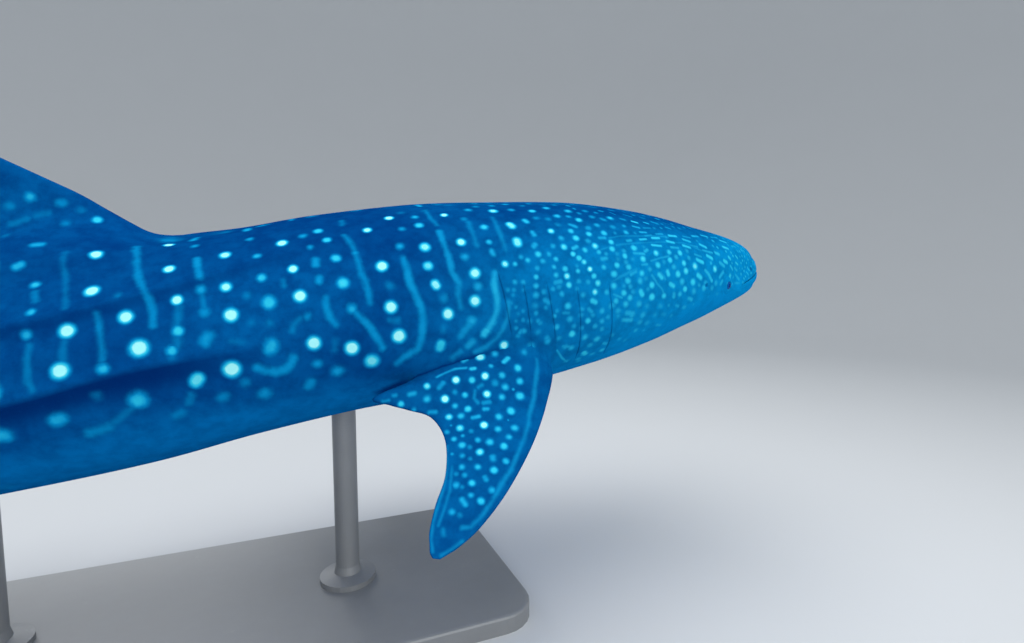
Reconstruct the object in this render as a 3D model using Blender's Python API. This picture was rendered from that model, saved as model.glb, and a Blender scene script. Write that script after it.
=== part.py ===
"""A life-size still model of a young whale shark in a slightly climbing swim, on a plain display stand.

Metres, +Z up, head towards +X, the animal's right side towards -Y. The origin is the centre of the
stand's underside. Stations are shares of the total length, counted back from the snout, and body and
fin sizes are shares of it too, so the whole animal follows TOTAL_LENGTH. An angle on a body section
runs from 0 on the back, over 90 on the flank, to 180 on the belly.
"""
import math

import bmesh
import bpy
import numpy as np
from mathutils import Matrix, Vector

# Driving dimensions, in metres and degrees
TOTAL_LENGTH = 6.5
SNOUT_HEIGHT = 1.68
SNOUT_AHEAD_OF_ORIGIN = 2.69
CLIMB = 9.5
JOINT_GAP = 0.0003
FIN_EDGE = 0.006

# Swim pose along the spine: station and heading in degrees, to the left and upwards
SPINE_YAW = ((0.0, 1.1), (0.20, -4.3), (0.45, 0.0), (0.70, 2.5), (0.85, 6.0), (1.0, 9.0))
SPINE_PITCH = ((0.0, -0.4), (0.20, -2.7), (0.45, 0.0), (1.0, 0.0))
SPINE_PIVOT = 0.45
SPINE_STEPS = 400

# Body sections: station, half width, back above the axis, belly below it, fullness of the section
SECTIONS = (
    (0.035, 0.0632, 0.0345, 0.0318, 2.50),
    (0.060, 0.0720, 0.0425, 0.0380, 2.50),
    (0.088, 0.0801, 0.0528, 0.0432, 2.45),
    (0.117, 0.0856, 0.0612, 0.0496, 2.40),
    (0.164, 0.0900, 0.0705, 0.0577, 2.30),
    (0.210, 0.0905, 0.0745, 0.0620, 2.25),
    (0.280, 0.0882, 0.0780, 0.0604, 2.20),
    (0.340, 0.0866, 0.0770, 0.0588, 2.15),
    (0.400, 0.0837, 0.0728, 0.0596, 2.15),
    (0.455, 0.0798, 0.0712, 0.0620, 2.10),
    (0.540, 0.0691, 0.0680, 0.0585, 2.10),
    (0.620, 0.0535, 0.0560, 0.0492, 2.10),
    (0.700, 0.0374, 0.0395, 0.0363, 2.10),
    (0.760, 0.0265, 0.0285, 0.0265, 2.10),
    (0.805, 0.0180, 0.0210, 0.0200, 2.10),
    (0.835, 0.0105, 0.0165, 0.0135, 2.00),
    (0.862, 0.0022, 0.0080, 0.0050, 2.00),
)

# Three ridges on each flank: the angle at stations, and the height at stations in metres. A hollow
# lies below each, and its depth is a share of the ridge's height.
UPPER_RIDGE = ((0.0, 26.0), (0.42, 26.0), (0.60, 30.0), (0.86, 34.0))
MIDDLE_RIDGE = (
    (0.0, 50.0), (0.28, 48.0), (0.33, 45.0), (0.41, 53.0), (0.50, 60.0), (0.62, 64.0), (0.86, 66.0),
)
LOWER_RIDGE = ((0.0, 99.0), (0.06, 97.0), (0.14, 90.0), (0.37, 87.0), (0.44, 86.0), (0.52, 90.0), (0.86, 90.0))
UPPER_HEIGHT = ((0.40, 0.0), (0.52, 0.012), (0.66, 0.010), (0.74, 0.0))
MIDDLE_HEIGHT = ((0.25, 0.0), (0.36, 0.016), (0.62, 0.016), (0.76, 0.0))
LOWER_HEIGHT = ((0.35, 0.0), (0.44, 0.018), (0.62, 0.022), (0.76, 0.036), (0.82, 0.034), (0.850, 0.0))
CREST_HEIGHT = ((0.17, 0.0), (0.28, 0.006), (0.40, 0.006), (0.44, 0.0))
RIDGE_HALF_WIDTH = 7.0
CREST_HALF_WIDTH = 9.0
RIDGE_HOLLOW = 0.55
HOLLOW_OFFSET = 8.4
# Columns of points on one side: back to upper ridge, to middle ridge, to lower ridge, to belly
RIDGE_COLUMNS = (3, 3, 5, 11)

# Node cuts along the body, and the stations of the rings between them
HEAD_END = 0.140
GILLS_END = 0.252
BODY_NODES = (
    ("trunk_front", (0.252, 0.268, 0.290, 0.315, 0.342, 0.370, 0.400)),
    ("trunk_rear", (0.400, 0.425, 0.450, 0.476, 0.504, 0.532, 0.560)),
    ("tail_root", (0.560, 0.588, 0.616, 0.644, 0.672, 0.700)),
    ("tail_stem", (0.700, 0.728, 0.752, 0.776, 0.798, 0.818, 0.836, 0.850, 0.862)),
)

# Head: where the snout patch starts, the rings behind it, and the mouth
SNOUT_START = 0.064
HEAD_RINGS = (0.064, 0.078, 0.093, 0.108, 0.124, 0.140)
SNOUT_STEPS = 6
MOUTH_HALF_WIDTH = 0.0635
MOUTH_CORNER = 0.056
SNOUT_REACH = 0.017
MOUTH_BLUNTNESS = 3.0
MOUTH_HEIGHT = -0.0035
MOUTH_DROOP = 0.0075
LIP_GAP = 0.0016
LIP_ROLL = 0.0016
MOUTH_DEPTH = 0.0060
SNOUT_FULLNESS = 0.036
CHIN_FULLNESS = 0.030
# The column that runs to the corner of the mouth
SEAM = sum(RIDGE_COLUMNS[:3])

# Gill slits: station, lean of the slit, and the angles of its upper and lower end
GILL_SLITS = (
    (0.1655, 0.0012, 82.0, 134.0),
    (0.1885, 0.0012, 82.0, 130.0),
    (0.2080, 0.0035, 78.0, 126.0),
    (0.2240, 0.0020, 77.0, 116.0),
    (0.2375, 0.0040, 70.0, 110.0),
)
# Across a slit: station from its edge, and height in metres; the slit fades over an angle at each end
GILL_PROFILE = ((-0.0045, 0.0), (0.0, 0.005), (0.0006, -0.010), (0.0060, 0.0))
GILL_FADE = 8.0
GILL_LEAN_SPAN = 30.0

# Eyes and nostrils
EYE_STATION = 0.056
EYE_ANGLE = 99.0
EYE_RADIUS = 0.025
EYE_SUNK = 0.016
EYE_RIM = 0.008
NOSTRIL_PLACE = 0.82
NOSTRIL_RADII = (0.014, 0.018, 0.012)
BARBEL_RADII = (0.008, 0.008, 0.020)

# Fins: leading and trailing edge in pairs from root to tip, as (aft, out) from the front of the root.
# The first pair lies inside the body.
PECTORAL_ROOT = ((0.209, 124.0), (0.292, 120.0))
PECTORAL_DROOP = 38.0
PECTORAL_EDGES = (
    ((-0.006, -0.022), (0.070, -0.022)),
    ((-0.002, 0.000), (0.084, 0.000)),
    ((0.001, 0.012), (0.111, 0.012)),
    ((0.005, 0.022), (0.114, 0.020)),
    ((0.010, 0.032), (0.101, 0.026)),
    ((0.017, 0.044), (0.089, 0.036)),
    ((0.028, 0.060), (0.084, 0.052)),
    ((0.041, 0.075), (0.087, 0.070)),
    ((0.058, 0.090), (0.095, 0.086)),
    ((0.076, 0.103), (0.102, 0.099)),
    ((0.088, 0.110), (0.104, 0.106)),
    ((0.098, 0.1135), (0.1035, 0.1125)),
)
FIRST_DORSAL_STATION = 0.430
FIRST_DORSAL_EDGES = (
    ((-0.006, -0.022), (0.092, -0.022)),
    ((0.000, -0.002), (0.107, -0.008)),
    ((0.013, 0.0070), (0.136, 0.001)),
    ((0.026, 0.0185), (0.140, 0.006)),
    ((0.038, 0.0295), (0.121, 0.014)),
    ((0.053, 0.0408), (0.109, 0.027)),
    ((0.072, 0.0548), (0.106, 0.042)),
    ((0.089, 0.0670), (0.109, 0.057)),
    ((0.104, 0.0780), (0.116, 0.072)),
    ((0.115, 0.0845), (0.122, 0.082)),
)
SMALL_FIN_EDGES = (
    ((-0.10, -0.45), (0.90, -0.45)),
    ((0.00, 0.00), (1.05, 0.00)),
    ((0.14, 0.14), (1.62, 0.06)),
    ((0.32, 0.32), (1.60, 0.16)),
    ((0.55, 0.52), (1.28, 0.36)),
    ((0.80, 0.72), (1.24, 0.62)),
    ((1.04, 0.90), (1.30, 0.86)),
    ((1.18, 0.98), (1.30, 0.97)),
)
# Small fins: node, station, angle, side, base length, height
SMALL_FINS = (
    ("dorsal_fin_second", 0.690, 0.0, 0, 0.034, 0.034),
    ("anal_fin", 0.705, 180.0, 0, 0.030, 0.032),
    ("pelvic_fin_right", 0.530, 140.0, -1, 0.036, 0.050),
    ("pelvic_fin_left", 0.530, 140.0, 1, 0.036, 0.050),
)
CAUDAL_FRAME = 0.840
UPPER_LOBE_EDGES = (
    ((0.786, 0.0000), (0.884, 0.0000)),
    ((0.797, 0.0180), (0.888, 0.0090)),
    ((0.815, 0.0340), (0.896, 0.0220)),
    ((0.840, 0.0560), (0.908, 0.0400)),
    ((0.868, 0.0820), (0.922, 0.0620)),
    ((0.898, 0.1090), (0.939, 0.0880)),
    ((0.926, 0.1340), (0.953, 0.1150)),
    ((0.953, 0.1550), (0.970, 0.1410)),
    ((0.975, 0.1690), (0.983, 0.1620)),
    ((0.987, 0.1740), (0.990, 0.1715)),
)
LOWER_LOBE_EDGES = (
    ((0.806, -0.0000), (0.884, -0.0000)),
    ((0.814, -0.0170), (0.885, -0.0110)),
    ((0.825, -0.0310), (0.885, -0.0240)),
    ((0.838, -0.0480), (0.886, -0.0420)),
    ((0.853, -0.0670), (0.889, -0.0620)),
    ((0.868, -0.0830), (0.892, -0.0800)),
    ((0.881, -0.0930), (0.893, -0.0915)),
)
# Thickness at the root in metres, and the places of the points from leading to trailing edge
FIN_THICKNESS = {"pectoral": 0.062, "dorsal": 0.066, "small": 0.024, "caudal": 0.048}
CHORD_SHARES = (0.0, 0.05, 0.16, 0.34, 0.58, 0.82, 1.0)
FOIL_FORWARD_SKEW = 0.62
FOIL_BLUNTNESS = 0.8

# Stand
BASE_SIZE = (2.60, 1.20, 0.08)
BASE_CORNER = 0.16
BASE_EDGE = 0.012
ROD_STATIONS = (("stand_rod_front", 0.335), ("stand_rod_rear", 0.545))
ROD_RADIUS = 0.055
FLANGE_RADIUS = 0.13
FLANGE_HEIGHT = 0.025
ROUND_SIDES = 32

# Colours as seen in neutral light, with roughness and metallic value
FINISHES = {
    "skin": ((0.020, 0.085, 0.190), 0.42, 0.0),
    "eye": ((0.010, 0.012, 0.016), 0.08, 0.0),
    "stand": ((0.300, 0.310, 0.320), 0.45, 0.6),
}


def clear_scene():
    for obj in list(bpy.data.objects):
        bpy.data.objects.remove(obj, do_unlink=True)


def finish(name):
    colour, roughness, metallic = FINISHES[name]
    material = bpy.data.materials.get(name)
    if material is None:
        material = bpy.data.materials.new(name)
        material.use_nodes = True
        shader = material.node_tree.nodes["Principled BSDF"]
        shader.inputs["Base Color"].default_value = (*colour, 1.0)
        shader.inputs["Roughness"].default_value = roughness
        shader.inputs["Metallic"].default_value = metallic
    return material


def smooth(table, place, column=1):
    """Read a table at a place, on a curve that passes through its rows without overshoot."""
    xs = [row[0] for row in table]
    ys = [row[column] for row in table]
    place = min(max(place, xs[0]), xs[-1])
    k = min(max(int(np.searchsorted(xs, place)) - 1, 0), len(xs) - 2)
    slopes = [(ys[i + 1] - ys[i]) / (xs[i + 1] - xs[i]) for i in range(len(xs) - 1)]

    def tangent(i):
        if i == 0 or i == len(xs) - 1:
            return slopes[min(i, len(slopes) - 1)]
        before, after = slopes[i - 1], slopes[i]
        return 0.0 if before * after <= 0.0 else 2.0 * before * after / (before + after)

    width = xs[k + 1] - xs[k]
    t = (place - xs[k]) / width
    return (ys[k] * (1 + 2 * t) * (1 - t) ** 2 + ys[k + 1] * t * t * (3 - 2 * t)
            + width * (tangent(k) * t * (1 - t) ** 2 - tangent(k + 1) * t * t * (1 - t)))


def integrate_spine():
    """The spine's points in the animal's own frame, with the snout near the frame's origin."""
    stations = np.linspace(0.0, 1.0, SPINE_STEPS + 1)
    yaw = np.radians([smooth(SPINE_YAW, s) for s in stations])
    pitch = np.radians([smooth(SPINE_PITCH, s) for s in stations])
    heading = np.stack([np.cos(yaw) * np.cos(pitch), np.sin(yaw) * np.cos(pitch), np.sin(pitch)], axis=1)
    steps = 0.5 * (heading[1:] + heading[:-1]) / SPINE_STEPS
    points = np.zeros((SPINE_STEPS + 1, 3))
    points[1:] = -np.cumsum(steps, axis=0)
    pivot = int(round(SPINE_PIVOT * SPINE_STEPS))
    points += np.array([-SPINE_PIVOT, 0.0, 0.0]) - points[pivot]
    return stations, points * TOTAL_LENGTH


STATIONS, SPINE = integrate_spine()
STANCE = (Matrix.Translation((SNOUT_AHEAD_OF_ORIGIN, 0.0, SNOUT_HEIGHT))
          @ Matrix.Rotation(math.radians(-CLIMB), 4, "Y"))


def spine_frame(station):
    """Centre of the body at a station, with its forward, left and up directions."""
    centre = Vector([float(np.interp(station, STATIONS, SPINE[:, axis])) for axis in range(3)])
    yaw = math.radians(smooth(SPINE_YAW, station))
    pitch = math.radians(smooth(SPINE_PITCH, station))
    forward = Vector((math.cos(yaw) * math.cos(pitch), math.sin(yaw) * math.cos(pitch), math.sin(pitch)))
    left = Vector((-math.sin(yaw), math.cos(yaw), 0.0))
    turn = STANCE.to_3x3()
    return STANCE @ centre, turn @ forward, turn @ left, turn @ forward.cross(left)


def signed_power(value, power):
    return math.copysign(abs(value) ** power, value)


def section_point(station, angle, side, lift=0.0):
    """A point of the skin: side is -1 on the animal's right and 1 on its left."""
    width, back, belly, fullness = [smooth(SECTIONS, station, k) for k in range(1, 5)]
    turn = math.radians(angle)
    across = width * signed_power(math.sin(turn), 2.0 / fullness) * TOTAL_LENGTH
    rise = signed_power(math.cos(turn), 2.0 / fullness) * TOTAL_LENGTH
    rise *= back if rise > 0.0 else belly
    reach = math.hypot(across, rise)
    grown = 1.0 + (lift + relief(station, angle)) / reach
    centre, forward, left, up = spine_frame(station)
    return centre + left * (side * across * grown) + up * (rise * grown)


def bump(angle, centre, half_width):
    share = abs(angle - centre) / half_width
    return max(0.0, 1.0 - share)


def relief(station, angle):
    """Height of the flank's ridges and of the crest before the first dorsal fin."""
    height = bump(angle, 0.0, CREST_HALF_WIDTH) * smooth(CREST_HEIGHT, station)
    ridges = ((UPPER_RIDGE, UPPER_HEIGHT), (MIDDLE_RIDGE, MIDDLE_HEIGHT), (LOWER_RIDGE, LOWER_HEIGHT))
    for line, heights in ridges:
        crest = smooth(line, station)
        rise = smooth(heights, station)
        height += rise * bump(angle, crest, RIDGE_HALF_WIDTH)
        height -= rise * RIDGE_HOLLOW * bump(angle, crest + HOLLOW_OFFSET, RIDGE_HALF_WIDTH)
    return height


def column_angles(station):
    """Angles of the ring's columns on one side, with a column on each ridge."""
    stops = [0.0] + [smooth(line, station) for line in (UPPER_RIDGE, MIDDLE_RIDGE, LOWER_RIDGE)] + [180.0]
    angles = [0.0]
    for low, high, count in zip(stops[:-1], stops[1:], RIDGE_COLUMNS):
        angles += [low + (high - low) * (k + 1) / count for k in range(count)]
    return angles


def ring(station, lift=0.0, lean=0.0, gill=None):
    """One loop round the body, from the back down the right side and up the left."""
    angles = column_angles(station)
    half = len(angles) - 1
    points = []
    for k in range(2 * half):
        index = k if k <= half else 2 * half - k
        side = -1 if k <= half else 1
        angle = angles[index]
        place = station - lean * min(max((angle - 90.0) / GILL_LEAN_SPAN, -1.0), 1.0)
        height = lift
        if gill:
            top, bottom, rise = gill
            height += rise * min(1.0, max(0.0, min(angle - top, bottom - angle) / GILL_FADE))
        points.append(section_point(place, angle, side, height))
    return points


def bridge(mesh, first, second):
    """Join two rings of vertices with triangles."""
    count = len(first)
    for k in range(count):
        after = (k + 1) % count
        mesh.faces.new((first[k], first[after], second[after]))
        mesh.faces.new((first[k], second[after], second[k]))


def cap(mesh, loop):
    centre = mesh.verts.new(sum((vert.co for vert in loop), Vector()) / len(loop))
    for k in range(len(loop)):
        mesh.faces.new((loop[k], loop[(k + 1) % len(loop)], centre))


def to_object(name, mesh, finish_name, helper=False):
    """Close a bmesh into an object with its faces pointing out."""
    bmesh.ops.recalc_face_normals(mesh, faces=mesh.faces[:])
    data = bpy.data.meshes.new(name)
    mesh.to_mesh(data)
    mesh.free()
    obj = bpy.data.objects.new(name, data)
    bpy.context.scene.collection.objects.link(obj)
    if helper:
        obj.hide_render = True
        obj.display_type = "WIRE"
    else:
        data.materials.append(finish(finish_name))
        data.shade_smooth()
        data.set_sharp_from_angle(angle=math.radians(40.0))
    return obj


def gill_rings(lift=0.0):
    rings = []
    for station, lean, top, bottom in GILL_SLITS:
        for offset, rise in GILL_PROFILE:
            rings.append(ring(station + offset, lift, lean, (top, bottom, rise)))
    return rings


def lip_point(share, side):
    """The mouth's line from its middle, share 0, to its corner, share 1."""
    centre, forward, left, up = spine_frame(0.0)
    back = MOUTH_CORNER * share ** MOUTH_BLUNTNESS - SNOUT_REACH
    across = side * MOUTH_HALF_WIDTH * share
    height = MOUTH_HEIGHT - MOUTH_DROOP * share ** 2
    return centre + (left * across + up * height - forward * back) * TOTAL_LENGTH


def hermite(start, start_way, end, end_way, t):
    return (start * (1 + 2 * t) * (1 - t) ** 2 + end * t * t * (3 - 2 * t)
            + start_way * t * (1 - t) ** 2 - end_way * t * t * (1 - t))


def gape(share):
    """How far the mouth's slit has opened, from 0 at its corner to 1 at its middle."""
    return math.sqrt(max(0.0, 1.0 - share ** 4))


def snout_point(share, angle, side, sign, t, lift=0.0):
    """A point between the first head ring, t 0, and the lip, t 1, on the upper (1) or lower (-1) jaw."""
    forward, up = spine_frame(0.0)[1], spine_frame(0.0)[3]
    opened = gape(share)
    start = section_point(SNOUT_START, angle, side, lift)
    run = section_point(SNOUT_START - 0.004, angle, side, lift) - start
    lip = lip_point(share, side) + up * (sign * opened * LIP_GAP * TOTAL_LENGTH) + forward * lift
    span = (lip - start).length
    fullness = SNOUT_FULLNESS if sign > 0 else CHIN_FULLNESS
    end_way = up * (-sign * fullness * TOTAL_LENGTH * (0.7 + 1.3 * opened))
    end_way += forward * ((1.0 - opened) * span)
    return hermite(start, run.normalized() * (1.1 * span), lip, end_way, t)


def jaw(angles, side, sign, lift):
    """Columns of points from the first head ring to the lip and just round it."""
    forward, up = spine_frame(0.0)[1], spine_frame(0.0)[3]
    columns = []
    for k, angle in enumerate(angles):
        share = k / (len(angles) - 1)
        steps = [j / SNOUT_STEPS for j in range(1, SNOUT_STEPS + 1)]
        points = [snout_point(share, angle, side, sign, t, lift) for t in steps]
        roll = up * (0.5 * sign) - forward * 2.0
        points.append(points[-1] + roll * (LIP_ROLL * TOTAL_LENGTH * gape(share)))
        columns.append(points)
    return columns


def build_snout(mesh, first_ring, lift=0.0):
    """The closed front of the head: both jaws and the shallow mouth between them."""
    count = len(first_ring)
    half = count // 2
    angles = column_angles(SNOUT_START)
    forward = spine_frame(0.0)[1]
    columns = []
    jaws = {side: (jaw(angles[:SEAM + 1], side, 1, lift), jaw(angles[:SEAM - 1:-1], side, -1, lift))
            for side in (-1, 1)}
    for column in range(-SEAM, SEAM + 1):
        side = -1 if column < 0 else 1
        k = abs(column)
        share = k / SEAM
        upper, lower = jaws[side][0][k], jaws[side][1][k]
        ring_top = first_ring[-column % count]
        ring_low = first_ring[half + column]
        if k == SEAM:
            line = [mesh.verts.new(0.5 * (a + b)) for a, b in zip(upper[:-1], lower[:-1])]
            columns.append(([ring_top] + line, [ring_top] + line))
            continue
        depth = MOUTH_DEPTH * gape(share) * TOTAL_LENGTH
        throat = mesh.verts.new(lip_point(share, side) - forward * (depth - lift))
        top = [ring_top] + [mesh.verts.new(p) for p in upper] + [throat]
        low = [ring_low] + [mesh.verts.new(p) for p in lower] + [throat]
        columns.append((top, low))
    for (top_a, low_a), (top_b, low_b) in zip(columns[:-1], columns[1:]):
        for first, second in ((top_a, top_b), (low_a, low_b)):
            join_strips(mesh, first, second)


def join_strips(mesh, first, second):
    """Triangles between two columns that may differ in length, where the shorter ends in a point."""
    rows = max(len(first), len(second)) - 1
    for row in range(rows):
        a, b = (first[min(row + k, len(first) - 1)] for k in (0, 1))
        c, d = (second[min(row + k, len(second) - 1)] for k in (0, 1))
        for corners in ((a, b, d), (a, d, c)):
            if len(set(corners)) == 3:
                mesh.faces.new(corners)


def build_length(mesh, rings, close_front=True, close_back=True):
    loops = [[mesh.verts.new(point) for point in points] for points in rings]
    for first, second in zip(loops[:-1], loops[1:]):
        bridge(mesh, first, second)
    if close_front:
        cap(mesh, loops[0])
    if close_back:
        cap(mesh, loops[-1])
    return loops


def half_gap():
    return 0.5 * JOINT_GAP / TOTAL_LENGTH


def head_rings(lift=0.0):
    return [ring(station, lift) for station in HEAD_RINGS[:-1]]


def build_head():
    mesh = bmesh.new()
    loops = build_length(mesh, head_rings() + [ring(HEAD_END - half_gap())], close_front=False)
    build_snout(mesh, loops[0])
    return to_object("head", mesh, "skin")


def build_body_nodes():
    mesh = bmesh.new()
    build_length(mesh, [ring(HEAD_END + half_gap())] + gill_rings() + [ring(GILLS_END - half_gap())])
    to_object("gill_region", mesh, "skin")
    for name, stations in BODY_NODES:
        inner = list(stations)
        inner[0] += half_gap()
        inner[-1] -= half_gap()
        mesh = bmesh.new()
        build_length(mesh, [ring(station) for station in inner])
        to_object(name, mesh, "skin")


def build_body_cutter():
    """The whole body in one piece, larger by the gap, to cut what grows from it."""
    mesh = bmesh.new()
    rings = head_rings(JOINT_GAP) + [ring(HEAD_END, JOINT_GAP)] + gill_rings(JOINT_GAP)
    for name, stations in BODY_NODES:
        rings += [ring(station, JOINT_GAP) for station in stations[:-1]]
    rings.append(ring(BODY_NODES[-1][1][-1] + 2.0 * half_gap(), JOINT_GAP))
    loops = build_length(mesh, rings, close_front=False)
    build_snout(mesh, loops[0], JOINT_GAP)
    return to_object("body_cutter", mesh, "skin", helper=True)


def fair(pairs, cuts):
    """The pairs of a fin's outline with smooth ones between them."""
    def blend(rows, k, t):
        before, here, there, beyond = (rows[min(max(k + j, 0), len(rows) - 1)] for j in (-1, 0, 1, 2))
        return tuple(0.5 * (2 * b + (c - a) * t + (2 * a - 5 * b + 4 * c - d) * t * t
                            + (3 * b - a - 3 * c + d) * t ** 3)
                     for a, b, c, d in zip(before, here, there, beyond))

    leads = [lead for lead, trail in pairs]
    trails = [trail for lead, trail in pairs]
    out = []
    for k in range(len(pairs) - 1):
        steps = cuts if k > 0 else 1
        out += [(blend(leads, k, j / steps), blend(trails, k, j / steps)) for j in range(steps)]
    return out + [pairs[-1]]


def foil(name, outline, place, root_thickness, cuts=2):
    """A closed fin: place turns (aft, out, off) into a point, and both faces have the same triangles."""
    rows = {1: [], -1: []}
    mesh = bmesh.new()
    root_chord = math.dist(*outline[1])
    edges = fair(outline, cuts)
    for lead, trail in edges:
        chord = math.dist(lead, trail)
        thick = max(root_thickness * (chord / root_chord) ** FOIL_BLUNTNESS, FIN_EDGE)
        for face in (1, -1):
            row = []
            for share in CHORD_SHARES:
                aft = lead[0] + (trail[0] - lead[0]) * share
                out = lead[1] + (trail[1] - lead[1]) * share
                profile = max(0.0, math.sin(math.pi * share ** FOIL_FORWARD_SKEW)) ** FOIL_BLUNTNESS
                off = 0.5 * (FIN_EDGE + max(thick - FIN_EDGE, 0.0) * profile)
                row.append(mesh.verts.new(place(aft, out, face * off)))
            rows[face].append(row)
    count = len(CHORD_SHARES)
    for face in (1, -1):
        grid = rows[face]
        for i in range(len(edges) - 1):
            for j in range(count - 1):
                mesh.faces.new((grid[i][j], grid[i + 1][j], grid[i + 1][j + 1]))
                mesh.faces.new((grid[i][j], grid[i + 1][j + 1], grid[i][j + 1]))
    upper, lower = rows[1], rows[-1]
    for i in range(len(edges) - 1):
        for j in (0, count - 1):
            mesh.faces.new((upper[i][j], upper[i + 1][j], lower[i + 1][j]))
            mesh.faces.new((upper[i][j], lower[i + 1][j], lower[i][j]))
    for i in (0, len(edges) - 1):
        for j in range(count - 1):
            mesh.faces.new((upper[i][j], upper[i][j + 1], lower[i][j + 1]))
            mesh.faces.new((upper[i][j], lower[i][j + 1], lower[i][j]))
    return to_object(name, mesh, "skin")


def apply_boolean(obj, other, operation):
    """Apply one Boolean and keep only the largest closed surface of the result."""
    modifier = obj.modifiers.new(operation.lower(), "BOOLEAN")
    modifier.operation = operation
    modifier.object = other
    modifier.solver = "EXACT"
    depsgraph = bpy.context.evaluated_depsgraph_get()
    result = bpy.data.meshes.new_from_object(obj.evaluated_get(depsgraph))
    obj.modifiers.remove(modifier)
    old = obj.data
    obj.data = result
    bpy.data.meshes.remove(old)
    keep_largest(obj)


def keep_largest(obj):
    mesh = bmesh.new()
    mesh.from_mesh(obj.data)
    bmesh.ops.remove_doubles(mesh, verts=mesh.verts[:], dist=0.00002)
    bmesh.ops.dissolve_degenerate(mesh, edges=mesh.edges[:], dist=0.00002)
    seen = set()
    islands = []
    for start in mesh.faces:
        if start in seen:
            continue
        island = []
        stack = [start]
        seen.add(start)
        while stack:
            face = stack.pop()
            island.append(face)
            for edge in face.edges:
                for near in edge.link_faces:
                    if near not in seen:
                        seen.add(near)
                        stack.append(near)
        islands.append(island)
    islands.sort(key=lambda faces: sum(face.calc_area() for face in faces))
    scraps = [face for island in islands[:-1] for face in island]
    bmesh.ops.delete(mesh, geom=scraps, context="FACES")
    bmesh.ops.triangulate(mesh, faces=mesh.faces[:])
    mesh.to_mesh(obj.data)
    mesh.free()


def build_pectoral(name, side, cutter):
    (front, front_angle), (rear, rear_angle) = PECTORAL_ROOT
    start = section_point(front, front_angle, side)
    end = section_point(rear, rear_angle, side)
    aft_way = (end - start).normalized()
    centre, forward, left, up = spine_frame(front)
    droop = math.radians(PECTORAL_DROOP)
    out_way = left * (side * math.cos(droop)) - up * math.sin(droop)
    out_way = (out_way - aft_way * out_way.dot(aft_way)).normalized()
    normal = aft_way.cross(out_way)

    def place(aft, out, off):
        return start + (aft_way * aft + out_way * out) * TOTAL_LENGTH + normal * off

    fin = foil(name, PECTORAL_EDGES, place, FIN_THICKNESS["pectoral"])
    apply_boolean(fin, cutter, "DIFFERENCE")


def build_first_dorsal(cutter):
    centre, forward, left, up = spine_frame(FIRST_DORSAL_STATION + 0.05)
    start = section_point(FIRST_DORSAL_STATION, 0.0, 1)

    def place(aft, out, off):
        return start + (up * out - forward * aft) * TOTAL_LENGTH + left * off

    fin = foil("dorsal_fin_first", FIRST_DORSAL_EDGES, place, FIN_THICKNESS["dorsal"])
    apply_boolean(fin, cutter, "DIFFERENCE")


def build_small_fin(name, station, angle, side, base, height, cutter):
    centre, forward, left, up = spine_frame(station + 0.5 * base)
    start = section_point(station, angle, side or 1)
    end = section_point(station + base, angle, side or 1)
    aft_way = (end - start).normalized()
    turn = math.radians(angle)
    out_way = up * math.cos(turn) + left * (side * math.sin(turn))
    out_way = (out_way - aft_way * out_way.dot(aft_way)).normalized()
    normal = aft_way.cross(out_way)

    def place(aft, out, off):
        run = aft_way * (aft * base) + out_way * (out * height)
        return start + run * TOTAL_LENGTH + normal * off

    fin = foil(name, SMALL_FIN_EDGES, place, FIN_THICKNESS["small"], cuts=1)
    apply_boolean(fin, cutter, "DIFFERENCE")


def build_caudal(name, edges, sign, cutter):
    centre, forward, left, up = spine_frame(CAUDAL_FRAME)

    def place(aft, out, off):
        run = up * out - forward * (aft - CAUDAL_FRAME)
        return centre + run * TOTAL_LENGTH + up * (sign * 0.5 * JOINT_GAP) + left * off

    fin = foil(name, edges, place, FIN_THICKNESS["caudal"])
    apply_boolean(fin, cutter, "DIFFERENCE")


def eye_place(side):
    """The eye's centre and the direction that it looks in."""
    on_skin = section_point(EYE_STATION, EYE_ANGLE, side)
    centre, forward, left, up = spine_frame(EYE_STATION)
    ahead = section_point(EYE_STATION - 0.006, EYE_ANGLE, side)
    above = section_point(EYE_STATION, EYE_ANGLE - 4.0, side)
    outward = (ahead - on_skin).cross(above - on_skin).normalized()
    if outward.dot(left * side) < 0.0:
        outward = -outward
    return on_skin, outward


def ball(name, centre, radii, way, finish_name, helper=False, rings=12, segments=20):
    mesh = bmesh.new()
    bmesh.ops.create_uvsphere(mesh, u_segments=segments, v_segments=rings, radius=1.0)
    turn = way.to_track_quat("Z", "Y").to_matrix().to_4x4()
    size = Matrix.Diagonal((*radii, 1.0))
    bmesh.ops.transform(mesh, matrix=Matrix.Translation(centre) @ turn @ size, verts=mesh.verts)
    return to_object(name, mesh, finish_name, helper)


def eye_rim(centre, way):
    """A soft round fold of skin about the eye."""
    mesh = bmesh.new()
    sides, around = 8, 20
    turn = way.to_track_quat("Z", "Y").to_matrix()
    loops = []
    for k in range(around):
        angle = 2.0 * math.pi * k / around
        loop = []
        for j in range(sides):
            tilt = 2.0 * math.pi * j / sides
            reach = EYE_RADIUS + EYE_RIM * (0.9 + math.cos(tilt))
            rise = EYE_RIM * 0.8 * math.sin(tilt)
            point = Vector((reach * math.cos(angle), reach * math.sin(angle), rise))
            loop.append(mesh.verts.new(centre + turn @ point))
        loops.append(loop)
    for first, second in zip(loops, loops[1:] + loops[:1]):
        bridge(mesh, first, second)
    return to_object("eye_rim", mesh, "skin", helper=True)


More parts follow.
